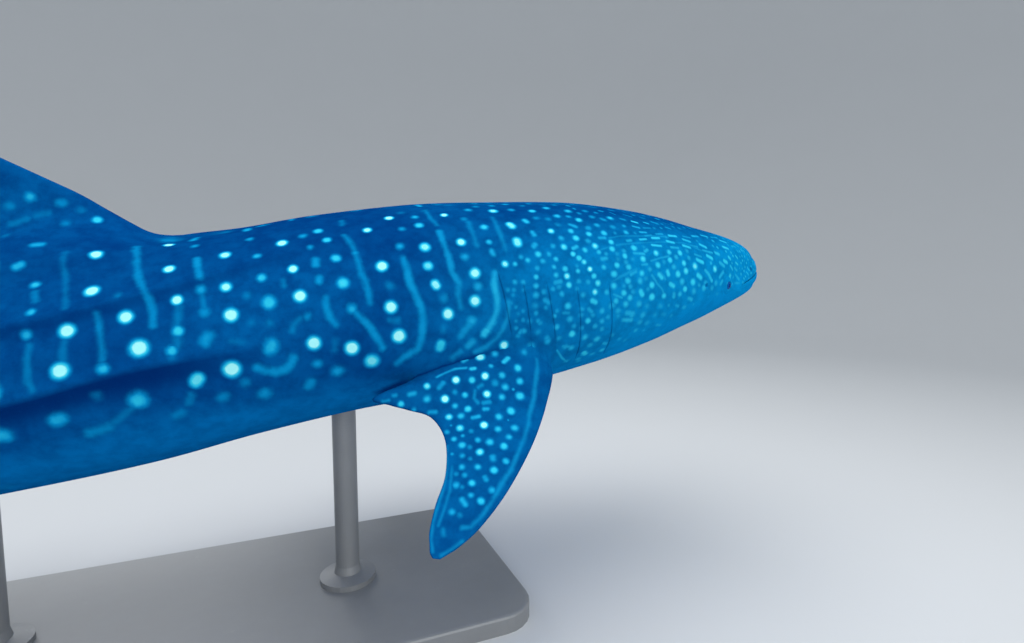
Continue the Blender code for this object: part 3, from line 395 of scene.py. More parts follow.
# Round spots as seen from the camera: across, down and radius in pixels, and brightness
SEEN_SPOTS = (
    # First dorsal fin
    (30, 197, 5, .6), (61, 203, 5, .4), (97, 220, 4.5, .75), (9, 206, 5, .35), (66, 223, 4.5, .35),
    (5, 236, 4, .2), (81, 210, 4, .2),
    # Rear flank
    (35, 285, 5, .65), (31, 312, 4.5, .6), (26, 335, 5, .55), (96, 254, 6, 1), (92, 291, 7, 1),
    (67, 331, 7.5, 1), (60, 371, 8.5, 1), (126, 317, 7, 1), (139, 348, 9, 1), (138, 400, 8.5, .65),
    (103, 369, 6, .65), (169, 245, 5, 1), (169, 269, 5.5, 1), (177, 300, 5.5, 1), (178, 331, 5.5, .8),
    (172, 351, 5.5, .65), (195, 246, 4, .45), (201, 290, 5, .5), (205, 312, 5, .4), (118, 295, 5, .25),
    (97, 395, 5.5, .2), (8, 487, 8, .3), (264, 394, 7, .5), (246, 383, 5.5, .35), (223, 397, 6, .4),
    (232, 369, 8.5, 1),
    # Middle flank
    (250, 239, 4, .45), (225, 255, 5.5, .95), (257, 256, 4, .55), (226, 287, 5.5, .95), (231, 315, 7, 1),
    (262, 278, 5, .7), (282, 243, 5.5, 1), (293, 269, 5, 1), (300, 296, 6.5, 1), (269, 302, 7, .7),
    (314, 343, 7, 1), (303, 236, 4, .45), (318, 231, 4.5, .7), (327, 240, 4.5, .75), (310, 247, 3.5, .45),
    (336, 258, 5, .75), (343, 283, 6, .8), (352, 309, 5.5, .6), (307, 317, 4.5, .4), (352, 348, 7, 1),
    (372, 361, 7, .85), (338, 371, 6, .5), (317, 364, 5, .5), (270, 323, 4.5, .25), (247, 295, 4.5, .25),
    (251, 323, 4.5, .25), (367, 230, 4.5, .95), (355, 253, 4, .5), (390, 286, 5, .25), (389, 218, 4.5, 1),
    (402, 229, 3.5, .45), (415, 217, 4, .6), (419, 225, 4.5, .75), (444, 215, 4, 1), (400, 246, 4.5, .55),
    (425, 247, 5.5, .9), (428, 266, 5, .85), (382, 266, 6, 1), (391, 307, 6.5, 1), (399, 336, 7, 1),
    (448, 314, 6, 1), (461, 242, 5, 1), (475, 273, 6, 1), (475, 301, 6, 1), (465, 257, 4.5, .5),
    (478, 286, 4.5, .45), (472, 321, 5, .5), (468, 210, 4.5, .55), (484, 227, 4.5, .75),
    (489, 242, 3.5, .6), (464, 219, 3.5, .3), (493, 211, 5, .95), (504, 345, 5, 1), (505, 264, 4, .95),
    (443, 298, 5, .3), (425, 211, 4, .25), (401, 213, 4, .2),
    # Shoulder and gills
    (551, 231, 4, .95), (571, 231, 3.5, .75), (589, 234, 3.5, .85), (561, 238, 3.3, .5),
    (576, 238, 3.8, .85), (553, 246, 3.2, .5), (564, 247, 3.8, .9), (585, 250, 3.2, .7),
    (595, 246, 3.8, .95), (611, 242, 3.2, .85), (604, 233, 3.5, .7), (612, 249, 3.5, .8),
    (538, 254, 3.8, .8), (549, 254, 3, .5), (556, 259, 3, .7), (573, 254, 3, .85), (579, 258, 3.2, .8),
    (521, 257, 3, .45), (528, 260, 3.2, .65), (543, 261, 3, .5), (515, 264, 3, .7), (554, 267, 2.8, .6),
    (565, 269, 3.2, .7), (537, 268, 2.8, .45), (584, 262, 3, .9), (590, 269, 3.2, 1), (578, 271, 3, .75),
    (594, 276, 3.2, .8), (567, 276, 3.5, .95), (556, 275, 3, .65), (536, 277, 2.8, .65),
    (598, 283, 3.5, .9), (569, 285, 3.2, .85), (614, 274, 3.8, .7), (617, 265, 3.3, .8),
    (625, 256, 3.3, .8), (634, 248, 3.8, .85), (604, 267, 2.8, .6), (599, 252, 2.8, .6),
    (606, 254, 2.8, .45), (629, 267, 3.5, .65), (628, 281, 3.8, .7), (614, 286, 4, .75),
    (624, 293, 3.8, .8), (630, 298, 3.8, .65), (626, 304, 3.8, .65), (607, 292, 3, .55),
    (595, 292, 3.3, .95), (583, 295, 3.5, .5), (562, 294, 3.3, .55), (536, 295, 3.5, .5), (536, 286, 3, .6),
    (515, 282, 3, .5), (523, 282, 2.8, .5), (568, 306, 4, .7), (535, 306, 3.8, .3), (544, 292, 3, .4),
    (570, 319, 4, .55), (588, 321, 3.5, .7), (602, 311, 3.3, .5), (557, 327, 3.2, .55), (572, 334, 4, .85),
    (585, 337, 4, .6), (597, 339, 4, .6), (559, 338, 3.5, .45), (538, 332, 3.5, .4), (548, 341, 4, .5),
    (602, 350, 3.5, .75), (592, 354, 3.5, .55), (566, 361, 4, .5), (571, 348, 3.5, .5),
    (590, 345, 3.5, .35), (618, 311, 3.5, .4), (616, 301, 3.3, .6), (608, 317, 3, .4), (555, 316, 2.5, .5),
    (579, 281, 3, .45), (588, 282, 2.8, .4), (559, 287, 3, .35), (577, 266, 2.5, .35), (511, 210, 4, .5),
    (532, 211, 4, .8), (546, 208, 4, .65), (554, 205, 3.5, .35), (568, 211, 4.5, .7), (585, 211, 4, .5),
    (536, 218, 4, .35), (557, 216, 4, .65), (548, 219, 3.5, .35), (579, 220, 4, .85), (511, 303, 2.6, .3),
    (516, 307, 2.4, .3), (513, 295, 2.4, .3), (518, 314, 2.6, .28), (524, 331, 3, .45),
    (518, 336, 2.6, .35), (536, 313, 2.8, .4), (529, 321, 2.6, .3), (547, 338, 3.2, .45),
    (540, 323, 2.8, .35), (523, 290, 2.4, .3), (557, 311, 2.8, .4), (546, 307, 2.6, .35),
    (553, 289, 2.6, .4), (577, 289, 2.6, .35), (516, 321, 2.4, .32), (516, 328, 2.4, .38),
    (523, 320, 2.4, .32), (523, 311, 2.3, .3), (582, 309, 3, .4), (593, 315, 3, .4), (581, 315, 2.8, .35),
    (574, 326, 3, .4), (582, 328, 3, .4), (595, 326, 3, .4), (538, 321, 2.8, .4), (565, 347, 3.5, .45),
    (508, 290, 2.4, .3), (514, 290, 2.4, .3), (584, 354, 3.5, .6), (578, 359, 3.3, .5), (592, 217, 3.5, .4),
    (558, 225, 3.5, .3), (610, 218, 4, .75), (597, 225, 3.5, .55), (613, 227, 3.5, .45), (624, 226, 3, .5),
    (626, 232, 3.5, .6), (588, 228, 3.5, .4), (588, 241, 3.5, .45),
    # Head
    (654, 228, 2.5, .35), (661, 228, 2, .35), (713, 241, 2.3, .5), (656, 253, 3.8, .95),
    (669, 252, 3.3, .8), (680, 253, 3.5, .9), (643, 259, 3.8, .9), (687, 251, 3, .4), (670, 260, 3.3, .85),
    (684, 263, 3.3, .9), (676, 257, 3, .5), (689, 258, 3, .5), (658, 265, 3.8, .85), (695, 266, 4, .95),
    (674, 267, 3.2, .5), (642, 273, 3.5, .75), (678, 274, 3.8, .9), (686, 271, 3.6, .9), (650, 269, 3, .4),
    (715, 269, 3.8, .95), (693, 282, 4, .85), (682, 282, 4, .6), (652, 285, 3.8, .85), (640, 281, 3.5, .55),
    (685, 289, 3.5, .9), (664, 296, 3.5, .75), (652, 297, 4, .85), (680, 294, 3.2, .6),
    (694, 291, 3.6, .45), (704, 288, 3.5, .55), (712, 288, 3, .35), (716, 283, 2.8, .4), (706, 283, 3, .35),
    (699, 285, 2.8, .4), (730, 276, 3, .75), (639, 304, 3.5, .45), (643, 315, 4, .4), (632, 315, 4, .45),
    (655, 315, 3.5, .3), (640, 322, 3.5, .3), (647, 306, 3, .25), (711, 263, 2.2, .5), (644, 247, 2.5, .3),
    (624, 251, 2.8, .35), (617, 254, 2.8, .25), (633, 259, 3, .3), (618, 259, 3, .3), (626, 262, 3, .35),
    (664, 262, 2.8, .25), (646, 278, 3, .25), (630, 286, 3.2, .4), (624, 286, 2.8, .35), (633, 292, 3, .3),
    (648, 289, 3, .3), (611, 306, 3.3, .4), (602, 321, 3.2, .5), (618, 316, 3.2, .25), (602, 329, 3, .35),
    (647, 323, 3.5, .25), (672, 224, 2.2, .35), (662, 224, 2, .3), (635, 233, 2.5, .3), (615, 233, 2.5, .3),
    (666, 237, 2.2, .3), (707, 238, 2, .4), (697, 241, 2, .3), (717.5, 247.5, 2, .55), (713, 246, 1.8, .4),
    (732, 246.3, 1.7, .5), (728, 245, 1.6, .4), (739, 243.5, 1.5, .4), (741, 248, 1.5, .45),
    (726, 251.5, 1.8, .5), (731, 252.5, 1.8, .5), (733, 256, 1.6, .6), (742, 256, 1.7, .5),
    (744.5, 256.5, 1.5, .65), (749, 252.5, 1.7, .55), (750, 257, 1.4, .6), (753.5, 257, 1.4, .5),
    (732, 263, 1.7, .6), (741, 263, 1.6, .65), (742.5, 260.7, 1.5, .65), (746.5, 263, 1.6, .75),
    (748, 259.5, 1.6, .7), (757, 261, 1.4, .45), (753, 261, 1.4, .5), (755, 265, 1.6, .7),
    (758, 264.5, 1.2, .6), (745, 267, 1.6, .7), (751, 266.5, 1.7, .6), (753.5, 269.5, 1.4, .55),
    (757, 270, 1.4, .5), (744, 271, 1.8, .7), (751, 273, 1.6, .65), (741, 274, 1.9, .55),
    (745.5, 276.5, 1.6, .65), (744, 278.5, 1.6, .6), (749, 278.5, 1.6, .55), (743, 282.5, 2, .4),
    # Pectoral fin
    (495, 354, 3.5, .55), (524, 352, 3.5, .5), (491, 366, 2.6, .6), (518, 368, 4, .75),
    (502, 375, 3.5, .65), (485, 376, 4, 1), (472, 380, 3.5, .8), (456, 380, 4, 1), (520, 381, 3.8, .7),
    (505, 387, 3.5, .6), (495, 383, 3.5, .4), (455, 392, 3, .45), (465, 395, 3.2, .7), (487, 394, 4, .95),
    (502, 397, 3.5, .65), (520, 396, 4.2, .7), (427, 399, 4, .65), (445, 399, 4.2, 1), (455, 406, 3.2, .65),
    (468, 409, 3.5, .8), (511, 411, 4, .75), (449, 417, 3.5, .85), (461, 416, 3.5, .65),
    (499, 417, 3.8, .65), (484, 425, 4.2, 1), (460, 428, 3.8, .85), (498, 429, 3.8, .7), (515, 428, 4, .65),
    (447, 432, 2.5, .45), (471, 431, 2.5, .4), (509, 437, 3.5, .6), (490, 442, 4, .65), (478, 440, 3, .55),
    (454, 439, 2.8, .6), (504, 446, 4, .75), (462, 445, 3.5, .65), (470, 447, 2.5, .3), (480, 452, 4, .85),
    (462, 456, 3.2, .5), (506, 461, 3.5, .6), (470, 459, 2.5, .35), (452, 454, 2, .5), (462, 467, 3.5, .6),
    (478, 467, 3.5, .65), (494, 470, 4, .75), (465, 475, 3, .45), (456, 474, 2.5, .3), (472, 483, 3.8, .75),
    (456, 485, 3.5, .5), (462, 487, 2.5, .3), (492, 490, 3.5, .5), (471, 495, 3, .55), (481, 501, 3.8, .65),
    (452, 512, 3.5, .5), (460, 515, 3, .3), (427, 386, 3.4, .85), (401, 404, 3.2, .75),
    (414, 410, 2.6, .45),
)
# Stripes and long spots as seen from the camera: half width, brightness, then each point's across and down
SEEN_STRIPES = (
    (4, .55, 32, 245, 44, 244), (4.5, .6, 14, 268, 23, 263), (7, .58, 51, 421, 63, 420),
    (7, .6, -4, 436, 9, 436), (4, .3, 35, 290, 36, 303), (4, .25, 10, 225, 28, 218),
    (4, .28, 29, 345, 27, 362, 28, 382, 32, 392), (4, .2, 35, 216, 50, 213),
    (3.5, .22, 66, 252, 63, 265, 66, 282, 65, 308), (3, .2, 121, 232, 119, 250),
    (4, .38, 137, 246, 137, 262, 138, 275, 143, 288, 149, 300, 153, 313, 153, 326),
    (4, .35, 96, 313, 99, 325, 101, 342, 102, 360), (4, .45, 197, 258, 198, 268, 200, 277),
    (6, .5, 211, 333, 203, 345), (6, .5, 88, 434, 112, 427), (4.5, .3, 188, 405, 192, 393),
    (4, .25, 112, 425, 122, 417, 133, 408), (5.5, .45, 173, 417, 183, 412), (6.5, .9, 194, 384, 199, 377),
    (4, .45, 315, 258, 316, 267), (4, .5, 319, 276, 319, 283),
    (3.8, .42, 326, 297, 327, 308, 330, 318, 337, 325), (4, .3, 301, 318, 294, 324, 292, 331),
    (4.5, .45, 257, 368, 266, 371, 276, 372, 285, 370, 292, 363, 294, 357), (5, .45, 313, 379, 307, 389),
    (6.5, .62, 272, 341, 270, 351), (3.5, .3, 283, 278, 284, 287), (4, .2, 229, 341, 245, 343),
    (4, .22, 335, 338, 334, 352), (3.5, .35, 344, 235, 350, 243, 355, 251),
    (3.8, .4, 355, 252, 359, 264, 361, 273, 366, 282, 369, 293, 370, 303), (3.5, .28, 341, 219, 342, 227),
    (3, .28, 201, 290, 203, 300, 205, 311), (4.5, .28, 178, 306, 178, 345, 171, 358),
    (4, .24, 65, 340, 62, 362), (4, .46, 353, 310, 362, 319, 370, 327, 376, 336, 383, 348),
    (4, .44, 403, 258, 407, 270, 410, 283, 416, 295, 421, 308, 423, 322, 422, 336, 418, 349, 405, 357, 396,
      364),
    (3.5, .42, 439, 231, 444, 244, 449, 258, 452, 272, 459, 283), (3.5, .3, 459, 283, 458, 295, 461, 308),
    (3, .3, 425, 210, 431, 219, 437, 225), (3.5, .28, 468, 222, 473, 234, 477, 246),
    (3, .25, 492, 217, 499, 231, 506, 250),
    (4, .56, 495, 272, 494, 285, 497, 299, 497, 311, 492, 323, 485, 333), (4.5, .7, 488, 329, 483, 336),
    (4, .5, 474, 340, 466, 348), (3.5, .35, 462, 350, 450, 359),
    (3, .36, 509, 302, 508, 316, 503, 329, 496, 339, 486, 347, 474, 352),
    (4, .42, 472, 322, 466, 329, 460, 336), (5, .82, 442, 341, 439, 350), (4, .3, 444, 325, 443, 333),
    (3.5, .55, 491, 249, 494, 256), (4, .3, 388, 320, 400, 321), (4.8, 1, 434, 282, 437, 287),
    (5, 1, 516, 238, 518, 245), (4.6, 1, 508, 223, 513, 227),
    # Shoulder, gills and head
    (3.2, .6, 531, 231, 535, 236), (3.2, .55, 536, 243, 533, 248), (3.6, .75, 523, 219, 528, 223),
    (2.4, .6, 572, 249, 578, 246), (2.6, .5, 568, 224, 577, 227), (2.8, .55, 601, 259, 608, 258),
    (3, .75, 591, 300, 597, 303), (3.2, .5, 544, 299, 550, 304), (3.4, .8, 583, 351, 586, 355),
    (3.2, .45, 579, 357, 578, 363), (3, .55, 622, 320, 633, 320), (3.2, .45, 625, 313, 635, 314),
    (2.6, .45, 554, 283, 562, 281), (2.4, .5, 598, 238, 606, 238), (2.2, .5, 626, 241, 632, 240),
    (2.4, .4, 588, 308, 593, 313), (2.4, .4, 562, 313, 570, 313), (2.2, .45, 519, 334, 522, 330),
    (1.5, .22, 609, 238, 620, 236, 638, 236, 656, 236, 668, 237),
    (1.4, .18, 616, 245, 636, 243, 662, 242, 684, 243, 700, 250, 712, 254), (1.4, .2, 600, 250, 612, 246),
    (1.8, .22, 612, 282, 620, 277, 628, 273, 637, 269), (1.7, .8, 651, 245, 662, 246),
    (3, .85, 667, 270, 669, 276), (3, .85, 658, 273, 663, 279), (3.2, .9, 697, 274, 702, 279),
    (3, .82, 669, 283, 675, 287), (3.2, .8, 640, 290, 643, 296), (2.8, .5, 674, 292, 674, 298),
    (2.3, .85, 706, 255, 713, 259), (2.3, .62, 714, 252, 720, 255), (2.4, .85, 696, 259, 704, 263),
    (2.2, .52, 719, 262, 725, 267), (2.2, .8, 728, 256, 731, 260), (2.5, .85, 723, 260, 728, 263),
    (2.2, .6, 705, 270, 709, 275, 712, 281), (2.2, .52, 724, 271, 719, 278), (2, .45, 723, 280, 720, 285),
    (1.5, .36, 651, 261, 660, 258, 669, 256), (1.9, .36, 652, 275, 657, 283, 662, 289, 664, 294),
    (2, .55, 633, 253, 645, 254), (1.8, .45, 641, 265, 648, 264), (2, .42, 630, 275, 637, 271),
    (2.2, .52, 644, 252, 648, 249), (2, .4, 666, 280, 660, 272), (1.7, .85, 631, 221, 638, 223),
    (1.6, .75, 643, 222, 649, 224), (1.7, .5, 632, 226, 640, 228), (1.5, .4, 643, 228, 651, 228),
    (1.6, .45, 665, 227, 671, 229), (1.7, .6, 639, 232, 647, 232.5), (1.6, .4, 655, 234, 663, 234),
    (1.6, .4, 644, 236, 652, 235), (1.9, .8, 651, 238, 660, 238), (1.7, .7, 639, 239.5, 647, 239),
    (1.8, .75, 668, 235.5, 677, 236.5), (1.9, .8, 666, 241, 675, 243), (1.7, .5, 670, 247, 679, 248),
    (1.8, .6, 691, 236, 699, 236.5), (1.8, .7, 700, 235, 708, 237), (1.6, .45, 682, 236, 691, 238),
    (1.8, .7, 682, 239, 691, 242), (1.9, .8, 682, 245, 691, 248), (2.1, .78, 699, 244, 707, 248),
    (1.9, .75, 719, 240, 727, 243), (1.8, .8, 722, 246.5, 729, 249), (1.6, .45, 710, 237, 718, 238),
    (1.5, .35, 690, 245, 698, 247), (1.5, .45, 734, 244, 739, 247), (1.6, .5, 702, 250, 713, 253),
    (1.6, .45, 694, 254, 702, 257), (1.4, .75, 735, 255, 738, 259), (1.5, .7, 735, 262, 738.5, 265),
    (1.7, .6, 730, 265, 733, 270.5), (1.7, .55, 734, 267, 737.5, 271.5), (1.5, .65, 747, 266.5, 749.5, 271),
    (1.5, .55, 746, 271.5, 749, 275.5), (1.7, .5, 735, 274, 739.5, 280), (1.6, .4, 734, 283, 740, 283),
    (1.6, .4, 613, 294, 623, 298), (1.5, .35, 623, 214.5, 632, 217), (1.4, .35, 609, 212, 616, 215),
    (2, .45, 562, 346, 570, 347), (1.6, .6, 557, 350, 562, 358, 567, 362),
    # Pectoral fin
    (4, 1, 478, 358, 482, 357), (2.5, .6, 462, 362, 468, 359), (2.6, .7, 503, 363, 509, 357),
    (2.2, .55, 437, 377, 445, 373, 455, 369, 466, 368), (2.8, .8, 470, 369, 476, 368),
    (2.4, .45, 438, 389, 444, 382), (2.4, .5, 526, 350, 532, 344), (2.4, .42, 477, 388, 483, 384),
    (2.8, .55, 408, 395, 416, 393), (2.4, .4, 382, 402, 390, 400), (2.4, .6, 483, 409, 489, 409),
    (2.4, .42, 482, 403, 491, 402), (2.2, .36, 475, 390, 474, 398, 478, 403),
    (2.5, .55, 471, 418, 480, 416), (2.5, .45, 428, 412, 437, 412), (3.4, .5, 493, 455, 493, 461),
    (2.6, .45, 484, 476, 487, 481), (3.2, .6, 461, 498, 466, 506), (2.2, .4, 392, 396, 397, 395),
    (2.8, .3, 537, 359, 536, 380, 534, 398, 530, 411, 528, 426, 523, 441, 517, 456, 511, 470, 501, 485,
      493, 500, 483, 515, 471, 527, 462, 528),
    (2.4, .28, 463, 541, 452, 549, 441, 555), (2.8, .28, 443, 528, 444, 537),
    (2, .26, 447, 446, 447, 468, 444, 486, 438, 505, 433, 522, 431, 540, 433, 552),
    (1.8, .24, 452, 466, 450, 490, 444, 510, 438, 526),
)


def read(rows, places, column=1):
    """Read a table at places, on a curve that passes through its rows without overshoot."""
    xs = np.array([row[0] for row in rows], float)
    ys = np.array([row[column] for row in rows], float)
    places = np.clip(np.asarray(places, float), xs[0], xs[-1])
    k = np.clip(np.searchsorted(xs, places) - 1, 0, len(xs) - 2)
    slopes = np.diff(ys) / np.diff(xs)
    before, after = slopes[:-1], slopes[1:]
    same_way = before * after > 0.0
    total = np.where(same_way, before + after, 1.0)
    inner = np.where(same_way, 2.0 * before * after / total, 0.0)
    tangents = np.concatenate([slopes[:1], inner, slopes[-1:]])
    width = (xs[1:] - xs[:-1])[k]
    t = (places - xs[k]) / width
    return (ys[k] * (1 + 2 * t) * (1 - t) ** 2 + ys[k + 1] * t * t * (3 - 2 * t)
            + width * (tangents[k] * t * (1 - t) ** 2 - tangents[k + 1] * t * t * (1 - t)))


def unit(vectors):
    return vectors / np.maximum(np.linalg.norm(vectors, axis=-1, keepdims=True), 1e-9)


def heading(stations):
    """The spine's direction in the animal's own frame, and the direction to its left."""
    yaw = np.radians(read(SPINE_YAW, stations))
    pitch = np.radians(read(SPINE_PITCH, stations))
    forward = np.stack([np.cos(yaw) * np.cos(pitch), np.sin(yaw) * np.cos(pitch), np.sin(pitch)], axis=-1)
    left = np.stack([-np.sin(yaw), np.cos(yaw), np.zeros_like(yaw)], axis=-1)
    return forward, left


def integrate_spine():
    """The spine's points in the animal's own frame, with the snout near the frame's origin."""
    stations = np.linspace(0.0, 1.0, SPINE_STEPS + 1)
    forward = heading(stations)[0]
    points = np.zeros((SPINE_STEPS + 1, 3))
    points[1:] = -np.cumsum(0.5 * (forward[1:] + forward[:-1]) / SPINE_STEPS, axis=0)
    pivot = int(round(SPINE_PIVOT * SPINE_STEPS))
    points += np.array([-SPINE_PIVOT, 0.0, 0.0]) - points[pivot]
    return stations, points * TOTAL_LENGTH


STATIONS, SPINE = integrate_spine()
TURN = np.array(Matrix.Rotation(math.radians(-CLIMB), 3, "Y"))
NOSE = np.array([SNOUT_AHEAD_OF_ORIGIN, 0.0, SNOUT_HEIGHT])


def spine_frames(stations):
    """Centre of the body at stations, with its forward, left and up directions."""
    stations = np.asarray(stations, float)
    centre = np.stack([np.interp(stations, STATIONS, SPINE[:, axis]) for axis in range(3)], axis=-1)
    forward, left = heading(stations)
    up = np.cross(forward, left)
    return NOSE + centre @ TURN.T, forward @ TURN.T, left @ TURN.T, up @ TURN.T


def dots(first, second):
    return np.sum(first * second, axis=-1)


def ease(values, low, high):
    """A smooth step from 0 at low to 1 at high."""
    t = np.clip((values - low) / (high - low), 0.0, 1.0)
    return t * t * (3.0 - 2.0 * t)


def bump(angles, centre, half_width):
    share = np.clip(np.abs(angles - centre) / half_width, 0.0, 1.0)
    return (1.0 - share) ** 2 * (1.0 + 2.0 * share)


def relief(stations, angles):
    """Height of the flank's ridges and of the crest before the first dorsal fin."""
    height = bump(angles, 0.0, CREST_HALF_WIDTH) * read(CREST_HEIGHT, stations)
    height = height + bump(angles, 0.0, SADDLE_HALF_WIDTH) * read(SADDLE_HEIGHT, stations)
    broad = 1.0 + TAIL_RIDGE_SPREAD * np.clip((stations - TAIL_RIDGE_START) / TAIL_RIDGE_SPAN, 0.0, 1.0)
    ridges = ((UPPER_RIDGE, UPPER_HEIGHT), (MIDDLE_RIDGE, MIDDLE_HEIGHT), (LOWER_RIDGE, LOWER_HEIGHT))
    for line, heights in ridges:
        past = angles - read(line, stations)
        rise = read(heights, stations)
        width = np.where(past < 0.0, RIDGE_ABOVE, RIDGE_BELOW) * broad
        height = height + rise * (1.0 - np.clip(np.abs(past) / width, 0.0, 1.0)) ** 2
        height = height - rise * RIDGE_HOLLOW * bump(past, HOLLOW_OFFSET, HOLLOW_HALF_WIDTH)
    return height


def section_points(stations, angles, lift=0.0):
    """Points of the skin. Angles below 0 are on the animal's right, above 0 on its left."""
    stations, angles, lift = np.broadcast_arrays(np.asarray(stations, float), np.asarray(angles, float), lift)
    width, back, belly, fullness = [read(SECTIONS, stations, k) for k in range(1, 5)]
    sine, cosine = np.sin(np.radians(angles)), np.cos(np.radians(angles))
    across = width * np.sign(sine) * np.abs(sine) ** (2.0 / fullness) * TOTAL_LENGTH
    rise = np.sign(cosine) * np.abs(cosine) ** (2.0 / fullness) * TOTAL_LENGTH
    rise = rise * np.where(rise > 0.0, back, belly)
    grown = 1.0 + (lift + relief(stations, np.abs(angles))) / np.hypot(across, rise)
    centre, forward, left, up = spine_frames(stations)
    return centre + left * (across * grown)[..., None] + up * (rise * grown)[..., None]


def column_angles(stations):
    """Signed angles of every column at stations, from the belly over the right side, back and left side."""
    stations = np.asarray(stations, float)
    ridges = [read(line, stations) for line in (UPPER_RIDGE, MIDDLE_RIDGE, LOWER_RIDGE)]
    stops = [np.zeros_like(stations), *ridges, np.full_like(stations, 180.0)]
    half = [stops[0]]
    for low, high, count in zip(stops[:-1], stops[1:], RIDGE_COLUMNS):
        half += [low + (high - low) * (k + 1) / count for k in range(count)]
    half = np.stack(half, axis=-1)
    return np.concatenate([-half[..., :0:-1], half], axis=-1)


def gape(share):
    """How far the mouth's slit has opened, from 0 at its corner to 1 at its middle."""
    return np.sqrt(np.maximum(0.0, 1.0 - share ** 4))


def lip_points(share, side):
    """The mouth's line from its middle, share 0, to its corner, share 1."""
    centre, forward, left, up = spine_frames(0.0)
    back = MOUTH_CORNER * share ** MOUTH_BLUNTNESS - SNOUT_REACH
    height = MOUTH_HEIGHT - MOUTH_DROOP * share ** 2
    across = side * MOUTH_HALF_WIDTH * share
    way = left * across[..., None] + up * height[..., None] - forward * back[..., None]
    return centre + way * TOTAL_LENGTH


def snout_points(share, angles, side, sign, t):
    """Points between the first head ring, t 0, and the lip, t 1, on the upper (1) or lower (-1) jaw."""
    forward, up = spine_frames(0.0)[1], spine_frames(0.0)[3]
    share, angles, side, t = np.broadcast_arrays(share, angles, side, t)
    opened = gape(share)[..., None]
    start = section_points(SNOUT_START, angles)
    run = unit(section_points(SNOUT_START - 0.004, angles) - start)
    lip = lip_points(share, side) + up * (sign * opened * LIP_GAP * TOTAL_LENGTH)
    span = np.linalg.norm(lip - start, axis=-1, keepdims=True)
    fullness = SNOUT_FULLNESS if sign > 0 else CHIN_FULLNESS
    end_way = up * (-sign * fullness * TOTAL_LENGTH * (LIP_PULL[0] + LIP_PULL[1] * opened))
    end_way = end_way + forward * ((1.0 - opened) * span)
    t = t[..., None]
    return (start * (1 + 2 * t) * (1 - t) ** 2 + lip * t * t * (3 - 2 * t)
            + run * (SNOUT_PULL * span) * t * (1 - t) ** 2 - end_way * t * t * (1 - t))


def mouth_columns():
    """Each column's share of the way to the mouth's corner, its side, and its number from the back."""
    column = np.arange(2 * HALF + 1) - HALF
    number = np.abs(column)
    share = np.where(number <= SEAM, number, HALF - number) / SEAM
    return share, np.sign(column), number


def on_jaws(make):
    """Points of all columns from a rule for one jaw, joined in one column at the mouth's corner."""
    share, side, number = mouth_columns()
    upper, lower = make(share, side, 1), make(share, side, -1)
    corner = (number == SEAM)[:, None]
    return np.where(corner, 0.5 * (upper + lower), np.where((number < SEAM)[:, None], upper, lower))


def front_rows():
    """Rows of points from the throat round the lips to the first head ring, with their stations."""
    forward, up = spine_frames(0.0)[1], spine_frames(0.0)[3]
    angles = column_angles(SNOUT_START)
    rows, stations = [], []

    def rolled(q):
        def make(share, side, sign):
            roll = (up * (0.5 * sign * q * q) - forward * (2.0 * q)) * (LIP_ROLL * TOTAL_LENGTH)
            return snout_points(share, angles, side, sign, 1.0) + roll * gape(share)[:, None]
        return make

    def throat(share, side, sign):
        return lip_points(share, side) - forward * (MOUTH_DEPTH * TOTAL_LENGTH * gape(share))[:, None]

    inner = on_jaws(rolled(1.0))
    rows += [on_jaws(throat), 0.5 * (on_jaws(throat) + inner)]
    rows += [on_jaws(rolled(q)) for q in LIP_STEPS[::-1]]
    stations += [LIP_STATION] * len(rows)
    for k in range(SNOUT_STEPS):
        t = 1.0 - (k / SNOUT_STEPS) ** SNOUT_CROWDING
        rows.append(on_jaws(lambda share, side, sign: snout_points(share, angles, side, sign, t)))
        stations.append(SNOUT_START * (1.0 - t))
    return np.stack(rows), np.array(stations)


def ring_rows():
    """Station of each ring behind the snout, the gill slit that it crosses, if any, and its rise there."""
    gill_ends = [(slit[0] + GILL_PROFILE[0][0], slit[0] + GILL_PROFILE[-1][0]) for slit in GILL_SLITS]
    trunk = int(round((BODY_END - GILLS_END) / TRUNK_SPACING))
    head = np.arange(SNOUT_START, GILLS_END, HEAD_SPACING)
    plain = np.concatenate([head, np.linspace(GILLS_END, BODY_END, trunk)])
    margin = 0.4 * HEAD_SPACING
    rows = [(station, -1, 0.0) for station in plain
            if not any(low - margin < station < high + margin for low, high in gill_ends)]
    for number, slit in enumerate(GILL_SLITS):
        rows += [(slit[0] + offset, number, rise) for offset, rise in GILL_PROFILE]
    return sorted(rows)


